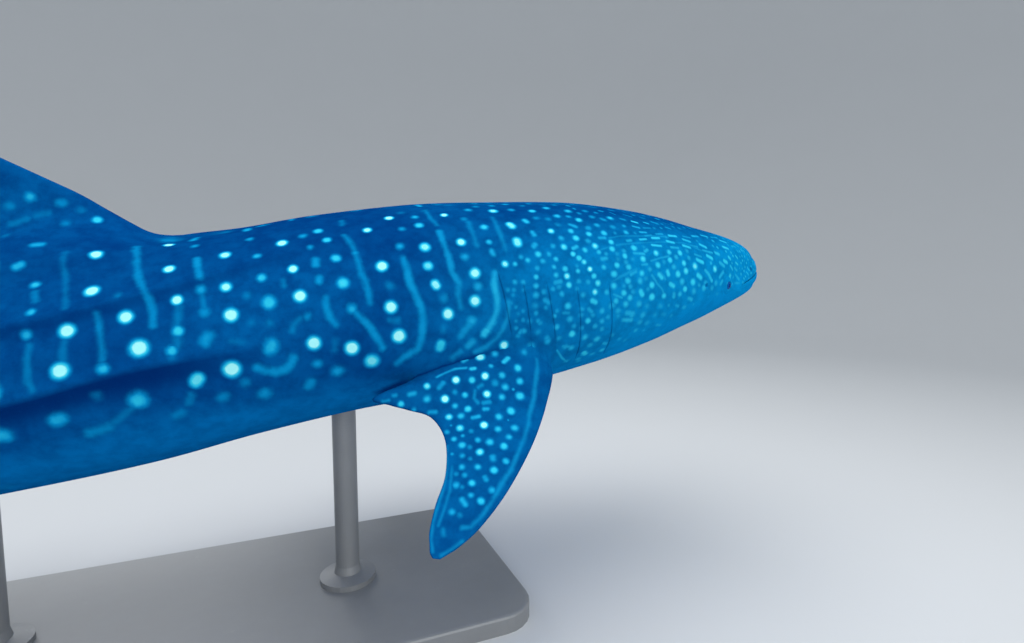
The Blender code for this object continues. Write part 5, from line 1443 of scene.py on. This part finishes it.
def pit_shade(points):
    """Painted shade in the nostrils and the openings behind the eyes."""
    shade = np.zeros(points.shape[:-1])
    for side in (-1, 1):
        pits = ((nostril_place(side), NOSTRIL_RADIUS), (spiracle_place(side), 0.7 * SPIRACLE_RADIUS))
        for place, radius in pits:
            distance = np.linalg.norm(points - place, axis=-1) / radius
            shade = np.maximum(shade, 1.0 - ease(distance, 0.55, 1.15))
    return shade


def lobe_shade(points):
    """Painted shadow on the body where the free rear lobe of a pectoral fin lies close to it, as seen along
    the camera's view.
    """
    shade = np.zeros(points.shape[:-1])
    for side in (-1, 1):
        start, end = (lobe_point(side, row) for row in (1, 2))
        near = np.linalg.norm(points - start, axis=-1) < 0.6
        way = camera_axes()[0] * (1.0, -side, 1.0)
        run, offset = (value - (value @ way)[..., None] * way for value in (end - start, points - start))
        share = np.clip(offset @ run / np.sum(run ** 2), 0.0, 1.0)
        distance = np.linalg.norm(offset - share[..., None] * run, axis=-1)
        shade = np.maximum(shade, near * (1.0 - ease(distance, 0.3 * LOBE_SHADE_REACH, LOBE_SHADE_REACH)))
    return shade


def blend_roots(pattern, values):
    """Let the tones of a fin and of the body run into each other across the fin's root."""
    near = pattern.root_near
    faces = (near[pattern.corners] > 0.0).any(axis=1)
    corners = pattern.corners[faces]
    used = np.maximum(np.bincount(corners.ravel(), minlength=len(near)), 1)[:, None]

    def spread(tones):
        layers = np.moveaxis(tones, -1, 0)
        sums = [np.bincount(corners.ravel(), layer.ravel(), len(near)) for layer in layers]
        return np.stack(sums, axis=1) / used

    edge = points = spread(values[faces])
    for step in range(ROOT_BLENDS):
        points = spread(np.repeat(points[corners].mean(axis=1)[:, None], 3, axis=1))
        points = np.where(near[:, None] > 0.0, points, edge)
    share = ease(near[corners], 0.0, 0.5)[..., None]
    values[faces] += share * (points[corners] - values[faces])
    return values


def skin_shade(pattern, angles, depth):
    """At every corner: how pale the underside is, the painted shade in creases, the darkening of hollows,
    back and fin edges, and the head's share of painted light.
    """
    shade = np.zeros(pattern.map.shape[:2] + (3,))
    pale = np.zeros(pattern.map.shape[:2])
    for number in np.unique(pattern.sheets):
        name = sheet_part(number)
        faces = pattern.sheets == number
        rows, columns = pattern.patch_place(name, pattern.map[faces].astype(float))
        surface = pattern.surfaces[name]
        if name == "body":
            angle = np.abs(surface.read(np.abs(angles), rows, columns))
            station = np.interp(rows, np.arange(len(pattern.stations)), pattern.stations)
            border = read(BELLY_BORDER, station)
            shade[faces, :, 0] = ease(angle, border - BELLY_FADE, border + BELLY_FADE)
            points = pattern.places[pattern.corners[faces]]
            # Painted shade in the mouth's gap, and in the gill slits, nostrils and spiracles
            mouth = 0.6 * (1.0 - ease(rows, 1.0, 7.0))
            slits = np.maximum(0.5 * surface.read(depth, rows, columns), pit_shade(points))
            shade[faces, :, 1] = np.maximum(mouth, slits)
            hollow = np.maximum(hollow_shade(station, angle), lobe_shade(points))
            # Painted shade on the upper head: less of the head's painted light there, with a lighter painted
            # band left along its very top
            top = (0.4 + 0.6 * ease(angle, 5.0, 32.0)) * (1.0 - ease(angle, 28.0, 82.0))
            top = top * ease(station, 0.02, 0.08)
            pale[faces] = read(HEAD_SHARE, station) * (1.0 - HEAD_TOP_SHADE * top)
            # Darker back: partly the animal's own tone, partly painted shade against the overhead light
            hollow = np.maximum(hollow, BACK_SHADE * (1.0 - ease(angle, 22.0, 88.0)) * (1.0 - pale[faces]))
            shade[faces, :, 2] = hollow
            continue
        lower = (number - SHEETS[name]) == 0
        if lower and name.startswith(("pectoral", "pelvic")):
            rim = np.minimum(columns, 0.5 * surface.last[1] - columns) / surface.last[1]
            shade[faces, :, 0] = 0.25 + 0.7 * ease(rim, 0.01, 0.10)
        # Fins: darker towards their edges, and on an upper face half the back's darkening, partly painted
        # shade
        middle = np.where(columns > 0.5 * surface.last[1], surface.last[1] - columns, columns)
        rim = 0.55 * (1.0 - ease(middle / surface.last[1], 0.0, 0.12))
        shade[faces, :, 2] = np.maximum(rim, 0.0 if lower else 0.5 * BACK_SHADE)
        pale[faces] = FIN_HEAD_LIGHT_SHARES.get(name, 0.0)
    tones = blend_roots(pattern, np.stack([shade[..., 0], shade[..., 2], pale], axis=-1))
    shade[..., 0] = tones[..., 0]
    # Painted shade along the pectoral roots, kept out of the blending
    shade[..., 2] = np.maximum(tones[..., 1], pattern.root_shade[pattern.corners])
    return shade, tones[..., 2]


def write_corner_layer(mesh, name, values):
    layer = mesh.attributes.new(name, "FLOAT_VECTOR", "CORNER")
    layer.data.foreach_set("vector", np.ascontiguousarray(values, np.float32).ravel())


def build_skin():
    """The one closed skin of body and fins, with its pattern written to its corners."""
    body_points, stations, angles, depth = body_surface()
    fins = fin_surfaces()
    surfaces = {"body": Surface(body_points)}
    surfaces.update({name: Surface(points) for name, points in fins.items()})
    skin = add_sheet("body", body_points, 0)
    shape_eye_folds(skin)
    shape_pits(skin)
    join_fins(skin, [add_sheet(name, fins[name], SHEETS[name]) for name in FIN_NAMES])
    soften_roots(skin)
    pattern = Pattern(skin.data, surfaces, stations)
    for surface in surfaces.values():
        pattern_side(surface, pattern)
    pattern.add_seen()
    pattern.scatter_head()
    pattern.rows_of_spots()
    for name, size, gap, halves in FIN_SPOTS:
        pattern.scatter_fin(name, size, gap, halves)
    near, after, tones = pattern.nearest()
    shade, pale = skin_shade(pattern, angles, depth)
    tones = np.broadcast_to(tones[:, None], pale.shape + (2,))
    write_corner_layer(skin.data, "mark_near", near)
    write_corner_layer(skin.data, "mark_next", after)
    # The third number of mark_tones is the head's share of painted light
    write_corner_layer(skin.data, "mark_tones", np.concatenate([tones, pale[..., None]], axis=-1))
    write_corner_layer(skin.data, "skin_shade", shade)
    for name in ("sheet", "root_near", "root_shade"):
        skin.data.attributes.remove(skin.data.attributes[name])
    return skin


def pattern_side(surface, pattern):
    """Turn a sheet's normals outwards, by the nearest face of the finished skin."""
    row, column = 0.5 * surface.last[0], 0.25 * surface.last[1]
    point = surface.at(row, column)
    found, normal, face, distance = pattern.tree.find_nearest(Vector(point))
    if np.dot(np.array(normal), surface.normal(row, column)) < 0.0:
        surface.normals = -surface.normals


class Value:
    """A number or vector in a material. Arithmetic on it adds Math nodes."""

    def __init__(self, finish, socket):
        self.finish = finish
        self.socket = socket

    def maths(self, operation, *inputs):
        return self.finish.node("ShaderNodeMath", {"operation": operation}, dict(enumerate(inputs)))

    def __add__(self, other):
        return self.maths("ADD", self, other)

    def __sub__(self, other):
        return self.maths("SUBTRACT", self, other)

    def __rsub__(self, other):
        return self.maths("SUBTRACT", other, self)

    def __mul__(self, other):
        return self.maths("MULTIPLY", self, other)

    def __pow__(self, other):
        return self.maths("POWER", self, other)

    def __abs__(self):
        return self.maths("ABSOLUTE", self)

    def at_least(self, other):
        return self.maths("MAXIMUM", self, other)

    __radd__ = __add__
    __rmul__ = __mul__


class Finish:
    """A material that is put together node by node."""

    def __init__(self, name, **constants):
        self.material = bpy.data.materials.new(name)
        self.material.use_nodes = True
        self.tree = self.material.node_tree
        self.tree.nodes.clear()
        self.shader = self.tree.nodes.new("ShaderNodeBsdfPrincipled")
        output = self.tree.nodes.new("ShaderNodeOutputMaterial")
        self.tree.links.new(self.shader.outputs["BSDF"], output.inputs["Surface"])
        for socket, value in constants.items():
            self.shader.inputs[socket.replace("_", " ")].default_value = value

    def node(self, kind, settings=None, inputs=None, output=0):
        """Add a node: its type, its settings, then the values or links of its sockets."""
        node = self.tree.nodes.new(kind)
        for name, value in (settings or {}).items():
            setattr(node, name, value)
        for name, value in (inputs or {}).items():
            self.feed(node.inputs[name], value)
        return Value(self, node.outputs[output])

    def feed(self, socket, value):
        if isinstance(value, Value):
            self.tree.links.new(value.socket, socket)
        elif socket.type == "RGBA" and len(value) == 3:
            socket.default_value = (*value, 1.0)
        else:
            socket.default_value = value

    def surface(self, **inputs):
        for socket, value in inputs.items():
            self.feed(self.shader.inputs[socket.replace("_", " ")], value)
        return self.material

    def coordinates(self):
        return self.node("ShaderNodeTexCoord", output="Object")

    def layer(self, name):
        """The three numbers of a layer that the mesh carries."""
        vector = self.node("ShaderNodeAttribute", {"attribute_name": name}, output="Vector")
        split = self.node("ShaderNodeSeparateXYZ", None, {"Vector": vector}).socket.node
        return [Value(self, socket) for socket in split.outputs]

    def noise(self, scale, detail, roughness=0.5):
        inputs = {"Vector": self.coordinates(), "Scale": scale, "Detail": detail, "Roughness": roughness}
        return self.node("ShaderNodeTexNoise", None, inputs)

    def fade(self, value, low, high, start=0.0, end=1.0):
        """A smooth step of a value from start at low to end at high."""
        inputs = {"Value": value, "From Min": low, "From Max": high, "To Min": start, "To Max": end}
        return self.node("ShaderNodeMapRange", {"interpolation_type": "SMOOTHSTEP"}, inputs)

    def mix(self, share, first, second):
        inputs = {0: share, 6: first, 7: second}
        return self.node("ShaderNodeMix", {"data_type": "RGBA"}, inputs, output=2)

    def bumps(self, height, distance, strength, below=None):
        inputs = {"Height": height, "Distance": distance, "Strength": strength}
        if below:
            inputs["Normal"] = below
        return self.node("ShaderNodeBump", None, inputs)


def shark_skin(settings):
    """Blue skin with painted light on the head, soft-edged pale marks, painted shade in hollows and creases,
    and fine roughness.
    """
    finish = Finish("shark_skin", IOR=1.42, Specular_IOR_Level=0.0)
    # skin_shade: the pale underside; painted shade in slits, mouth and pits; and painted shade in the ridges'
    # hollows and beside the pectoral fins, the back's darker tone with its painted shade, and darker fin
    # edges
    under, crease, hollow = finish.layer("skin_shade")
    # mark_tones: the two nearest marks' brightness, and the head's share of painted light
    first_tone, second_tone, head = finish.layer("mark_tones")
    patchy = finish.fade(finish.noise(13.0, 3.0, 0.6), 0.36, 0.64)
    wobble = (finish.noise(42.0, 3.0, 0.6) - 0.5) * 0.65
    marks = []
    for name, tone in (("mark_near", first_tone), ("mark_next", second_tone)):
        along, aside, half = finish.layer(name)
        past = (abs(along) - half).at_least(0.0)
        reach = (past * past + aside * aside) ** 0.5 + wobble * (1.3 - tone) + patchy * (0.4 - tone * 0.4)
        soft = settings.mark_softness + (1.0 - tone) * 0.50
        marks.append(finish.fade(reach, 1.0 - soft, 1.0 + soft, 1.0, 0.0) * tone)
    light = marks[0].at_least(marks[1])
    # Marks dim on the underside, and under the painted shade of slits, mouth and pits
    light = light * (1.0 - patchy * (1.0 - light) * 0.3) * (1.0 - under * 0.6) * (1.0 - crease)
    cloud = finish.fade(finish.noise(2.3, 4.0, 0.55), 0.35, 0.68)
    mottle = finish.fade(finish.noise(17.0, 5.0, 0.6), 0.30, 0.72)
    back = finish.mix(cloud * 0.80, settings.back_colour, settings.back_light_colour)
    # Painted light on the head and shoulder
    back = finish.mix(head, back, settings.head_painted_light_colour)
    # The underside: its own paler blue painted darker for the shade it lies in, lighter under the head with
    # the head's painted light
    belly = finish.mix(head, settings.belly_colour, settings.throat_colour)
    skin = finish.mix(under, back, belly)
    skin = finish.mix(mottle * (0.50 - head * 0.20 - under * 0.20), skin, settings.mottle_and_shade_colour)
    # Painted shade and darker tones from the third layer of skin_shade
    skin = finish.mix(hollow * 0.92, skin, settings.mottle_and_shade_colour)
    faint = finish.mix(head * 0.50, settings.mark_colour, settings.glow_colour)
    skin = finish.mix(finish.fade(light, -0.08, 0.55), skin, faint)
    skin = finish.mix(finish.fade(light, 0.34, 0.84), skin, settings.glow_colour)
    skin = finish.mix(finish.fade(light, 0.74, 1.0), skin, settings.bright_mark_colour)
    speckle = finish.fade(finish.noise(130.0, 2.0, 0.6), 0.58, 0.78)
    skin = finish.mix(speckle * 0.12, skin, settings.back_light_colour)
    # Painted shade in the gill slits, mouth, nostrils and spiracles
    skin = finish.mix(crease * 0.60, skin, (0.001, 0.018, 0.100))
    rough = settings.roughness - 0.08 + mottle * 0.12 + under * 0.06
    grain = finish.noise(520.0, 2.0, 0.5)
    wrinkle = finish.noise(70.0, 4.0, 0.55)
    normal = finish.bumps(wrinkle, 0.0030, 0.30)
    normal = finish.bumps(grain, 0.0006, 0.55, below=normal)
    return finish.surface(Base_Color=skin, Roughness=rough, Normal=normal)


def eyeball(settings, name, middle, way):
    """A dark blue glossy eye: pupil, narrow iris with fine streaks, and rim."""
    finish = Finish(name, IOR=1.38, Specular_IOR_Level=0.16, Specular_Tint=(0.2, 0.6, 1.0, 1.0))
    minus, product = {"operation": "SUBTRACT"}, {"operation": "DOT_PRODUCT"}
    offset = finish.node("ShaderNodeVectorMath", minus, {0: finish.coordinates(), 1: middle})
    looking = finish.node("ShaderNodeVectorMath", product, {0: offset, 1: way}, output="Value")
    reach = (1.0 - (looking * (1.0 / EYE_RADIUS)) ** 2.0).at_least(0.0) ** 0.5
    streaks = finish.noise(420.0, 3.0)
    iris = finish.mix(streaks, settings.iris_colour, settings.iris_light_colour)
    colour = finish.mix(finish.fade(reach, 0.40, 0.47), settings.pupil_colour, iris)
    colour = finish.mix(finish.fade(reach, 0.66, 0.80), colour, settings.pupil_colour)
    rough = 0.10 + streaks * 0.10
    normal = finish.bumps(streaks, 0.0002, 0.25)
    return finish.surface(Base_Color=colour, Roughness=rough, Normal=normal)


def stand_paint(settings):
    """Satin grey paint on metal, a little cloudy and finely speckled, with worn places."""
    finish = Finish("stand_paint", Metallic=0.35, IOR=1.45)
    cloud = finish.noise(3.0, 5.0, 0.6)
    speckle = finish.noise(900.0, 2.0, 0.5)
    worn = finish.fade(finish.noise(11.0, 6.0, 0.7), 0.66, 0.74)
    colour = finish.mix(cloud, settings.paint_colour, settings.paint_light_colour)
    colour = finish.mix(finish.fade(speckle, 0.55, 0.75) * 0.3, colour, (0.12, 0.125, 0.13))
    colour = finish.mix(worn * 0.25, colour, (0.50, 0.51, 0.52))
    rough = settings.paint_roughness + cloud * 0.14 - worn * 0.08
    normal = finish.bumps(speckle, 0.0004, 0.5)
    return finish.surface(Base_Color=colour, Roughness=rough, Normal=normal)


def studio_floor(settings):
    """Plain pale studio surface, very slightly cloudy."""
    finish = Finish("studio_floor")
    cloud = finish.noise(0.8, 3.0, 0.5)
    shaded = [0.96 * value for value in settings.floor_colour]
    colour = finish.mix(cloud * 0.4, settings.floor_colour, shaded)
    return finish.surface(Base_Color=colour, Roughness=0.85 + cloud * 0.05)


def colour_setting(name, description, value):
    return FloatVectorProperty(name=name, description=description, default=value, subtype="COLOR", size=3,
                               min=0.0, max=1.0)


def number_setting(name, description, value, low, high, **options):
    return FloatProperty(name=name, description=description, default=value, min=low, max=high, **options)


class SkinSettings(bpy.types.PropertyGroup):
    back_colour: colour_setting("Back", "Blue of the back and flanks", (0.0003, 0.056, 0.240))
    back_light_colour: colour_setting("Light clouds", "Lighter blue of the clouds on the back",
                                      (0.0005, 0.108, 0.350))
    # Darkest blue: the mottles' own colour, and the colour of painted shade in the hollows
    mottle_and_shade_colour: colour_setting("Hollows", "Darkest blue, in mottles and in the hollows",
                                     (0.0002, 0.011, 0.120))
    # Painted light on the head and shoulder
    head_painted_light_colour: colour_setting("Head", "Lighter blue of the head and shoulder", (0.0008, 0.275, 0.630))
    # The underside's own paler blue, painted darker for the shade it lies in; the throat is lighter with the
    # head's painted light
    belly_colour: colour_setting("Belly", "Colour of the underside", (0.0006, 0.155, 0.470))
    throat_colour: colour_setting("Throat", "Colour of the underside of the head", (0.0010, 0.250, 0.610))
    mark_colour: colour_setting("Faint marks", "Colour of faint marks and of the edges of bright ones",
                                (0.002, 0.265, 0.580))
    glow_colour: colour_setting("Glow", "Colour round the middle of bright spots", (0.030, 0.580, 0.790))
    bright_mark_colour: colour_setting("Bright marks", "Colour at the middle of bright spots",
                                       (0.360, 0.900, 0.930))
    mark_softness: number_setting("Mark softness", "Width of a mark's soft edge, as a share of its radius",
                                  0.52, 0.02, 0.9, subtype="FACTOR")
    roughness: number_setting("Roughness", "Roughness of the skin", 0.50, 0.15, 0.9, subtype="FACTOR")


class EyeSettings(bpy.types.PropertyGroup):
    pupil_colour: colour_setting("Pupil", "Colour of the pupil and of the eye's rim",
                                 (0.0005, 0.030, 0.180))
    iris_colour: colour_setting("Iris", "Dark colour of the iris", (0.0008, 0.065, 0.300))
    iris_light_colour: colour_setting("Iris streaks", "Colour of the streaks in the iris",
                                      (0.002, 0.105, 0.400))


class StandSettings(bpy.types.PropertyGroup):
    paint_colour: colour_setting("Paint", "Darker tone of the stand's paint", (0.235, 0.245, 0.255))
    paint_light_colour: colour_setting("Paint clouds", "Lighter tone of the stand's paint",
                                       (0.330, 0.340, 0.350))
    paint_roughness: number_setting("Roughness", "Roughness of the paint", 0.40, 0.1, 0.9, subtype="FACTOR")


class StageSettings(bpy.types.PropertyGroup):
    floor_colour: colour_setting("Floor", "Colour of the floor and of the wall behind", (0.66, 0.68, 0.70))
    floor_radius: number_setting("Floor radius", "From the middle of the floor to its rim",
                                 22.0, 14.0, 40.0, unit="LENGTH")
    wall_height: number_setting("Wall height", "How far the floor's rim rises",
                                19.0, 4.0, 30.0, unit="LENGTH")
    key_power: number_setting("Overhead light", "Power of the large light overhead, in watts",
                              400.0, 0.0, 6000.0)
    fill_power: number_setting("Front light", "Power of the soft light behind the camera, in watts",
                               300.0, 0.0, 3000.0)
    sky_strength: number_setting("Ambient light", "Brightness of the surroundings", 0.62, 0.0, 2.0)
    floor_segments: IntProperty(name="Floor segments", description="Straight sides round the floor",
                                default=96, min=24, max=256)


def cover(name, material):
    """Give a solid its material."""
    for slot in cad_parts[name].material_slots:
        slot.material = material


class WHALE_OT_skin(bpy.types.Operator):
    """Build the skin and put it in the place of the solids of flesh"""

    bl_idname = "whale.skin"
    bl_label = "Skin"

    def execute(self, context):
        skin = build_skin()
        skin.name = "shark_skin"
        skin.data.name = "shark_skin"
        skin.data.shade_smooth()
        skin.data.materials.clear()
        skin.data.materials.append(shark_skin(context.scene.whale_skin))
        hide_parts(*FLESH_NODES)
        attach(skin, "root")
        return {"FINISHED"}


class WHALE_OT_eyes(bpy.types.Operator):
    """Give both eyeballs their finish"""

    bl_idname = "whale.eyes"
    bl_label = "Eyes"

    def execute(self, context):
        for name, side in zip(EYE_NODES, (-1, 1)):
            on_skin, way = eye_place(side)
            middle = on_skin - way * EYE_SUNK
            cover(name, eyeball(context.scene.whale_eyes, name, tuple(middle), tuple(way)))
        return {"FINISHED"}


class WHALE_OT_stand(bpy.types.Operator):
    """Give the base and rods of the stand their paint"""

    bl_idname = "whale.stand"
    bl_label = "Stand"

    def execute(self, context):
        paint = stand_paint(context.scene.whale_stand)
        for name in STAND_NODES:
            cover(name, paint)
        return {"FINISHED"}


class WHALE_OT_stage(bpy.types.Operator):
    """Lay the pale floor and wall, and set the lights and camera"""

    bl_idname = "whale.stage"
    bl_label = "Stage"

    def execute(self, context):
        settings = context.scene.whale_stage
        self.add_floor(settings)
        self.add_light("overhead", (0.4, -0.8, 8.0), (9.0, 7.0), settings.key_power, (0.0, 0.0, 1.0))
        self.add_light("front", (2.2, -8.0, 4.0), (7.0, 4.0), settings.fill_power, (0.3, 0.0, 1.3))
        self.add_light("back", (-3.0, 8.0, 4.5), (7.0, 4.0), 0.6 * settings.fill_power, (0.0, 0.0, 1.3))
        self.light_world(settings)
        self.add_camera()
        context.scene.view_settings.view_transform = "Standard"
        return {"FINISHED"}

    def add_floor(self, settings):
        """A round floor that bends up into a wall, shaped in edit mode from a circle."""
        deselect_all()
        inner = 0.5 * settings.floor_radius
        bpy.ops.mesh.primitive_circle_add(vertices=settings.floor_segments, radius=inner, fill_type="NGON")
        floor = bpy.context.object
        floor.name = "studio_floor"
        open_mesh(floor, "FACE")
        radius, height = inner, 0.0
        for k in range(1, WALL_STEPS + 1):
            turn = 0.5 * math.pi * k / WALL_STEPS
            wider = inner * (1.0 + math.sin(turn))
            higher = settings.wall_height * (1.0 - math.cos(turn))
            grown = wider / radius
            bpy.ops.mesh.extrude_region_move(TRANSFORM_OT_translate={"value": (0.0, 0.0, higher - height)})
            bpy.ops.transform.resize(value=(grown, grown, 1.0), center_override=(0.0, 0.0, higher))
            radius, height = wider, higher
        bpy.ops.mesh.delete(type="ONLY_FACE")
        bpy.ops.object.mode_set(mode="OBJECT")
        bpy.ops.object.shade_smooth()
        floor.data.materials.append(studio_floor(settings))

    def add_light(self, name, place, size, power, target):
        lamp = bpy.data.lights.new(name, "AREA")
        lamp.shape = "RECTANGLE"
        lamp.size, lamp.size_y = size
        lamp.energy = power
        light = bpy.data.objects.new(name, lamp)
        bpy.context.scene.collection.objects.link(light)
        light.location = place
        light.rotation_euler = (Vector(target) - Vector(place)).to_track_quat("-Z", "Y").to_euler()
        light.visible_camera = False

    def light_world(self, settings):
        world = bpy.data.worlds.new("studio")
        bpy.context.scene.world = world
        world.use_nodes = True
        background = world.node_tree.nodes["Background"]
        background.inputs["Color"].default_value = (0.90, 0.95, 1.0, 1.0)
        background.inputs["Strength"].default_value = settings.sky_strength

    def add_camera(self):
        camera = bpy.data.objects.new("camera", bpy.data.cameras.new("camera"))
        bpy.context.scene.collection.objects.link(camera)
        camera.location = CAMERA_PLACE
        camera.rotation_euler = (math.radians(90.0 - CAMERA_DIP), 0.0, math.radians(-CAMERA_HEADING))
        camera.data.sensor_width = SENSOR_WIDTH
        camera.data.lens = SENSOR_WIDTH * FOCAL_PIXELS / PICTURE_SIZE[0]
        camera.data.clip_start, camera.data.clip_end = 0.05, 200.0
        bpy.context.scene.camera = camera


PIECES = (
    ("whale_skin", SkinSettings, WHALE_OT_skin),
    ("whale_eyes", EyeSettings, WHALE_OT_eyes),
    ("whale_stand", StandSettings, WHALE_OT_stand),
    ("whale_stage", StageSettings, WHALE_OT_stage),
)


class WHALE_PT_panel(bpy.types.Panel):
    """The steps of the model and their sizes and colours"""

    bl_idname = "WHALE_PT_panel"
    bl_label = "Whale Shark"
    bl_space_type = "VIEW_3D"
    bl_region_type = "UI"
    bl_category = "Whale Shark"

    def draw(self, context):
        for prop, settings, operator in PIECES:
            box = self.layout.box()
            box.operator(operator.bl_idname)
            for name in settings.__annotations__:
                box.prop(getattr(context.scene, prop), name)


def register():
    for prop, settings, operator in PIECES:
        bpy.utils.register_class(settings)
        bpy.utils.register_class(operator)
        setattr(bpy.types.Scene, prop, PointerProperty(type=settings))
    bpy.utils.register_class(WHALE_PT_panel)


def unregister():
    bpy.utils.unregister_class(WHALE_PT_panel)
    for prop, settings, operator in reversed(PIECES):
        delattr(bpy.types.Scene, prop)
        bpy.utils.unregister_class(operator)
        bpy.utils.unregister_class(settings)


def main():
    register()
    bpy.ops.whale.skin()
    bpy.ops.whale.eyes()
    bpy.ops.whale.stand()
    bpy.ops.whale.stage()


if __name__ == "__main__":
    main()
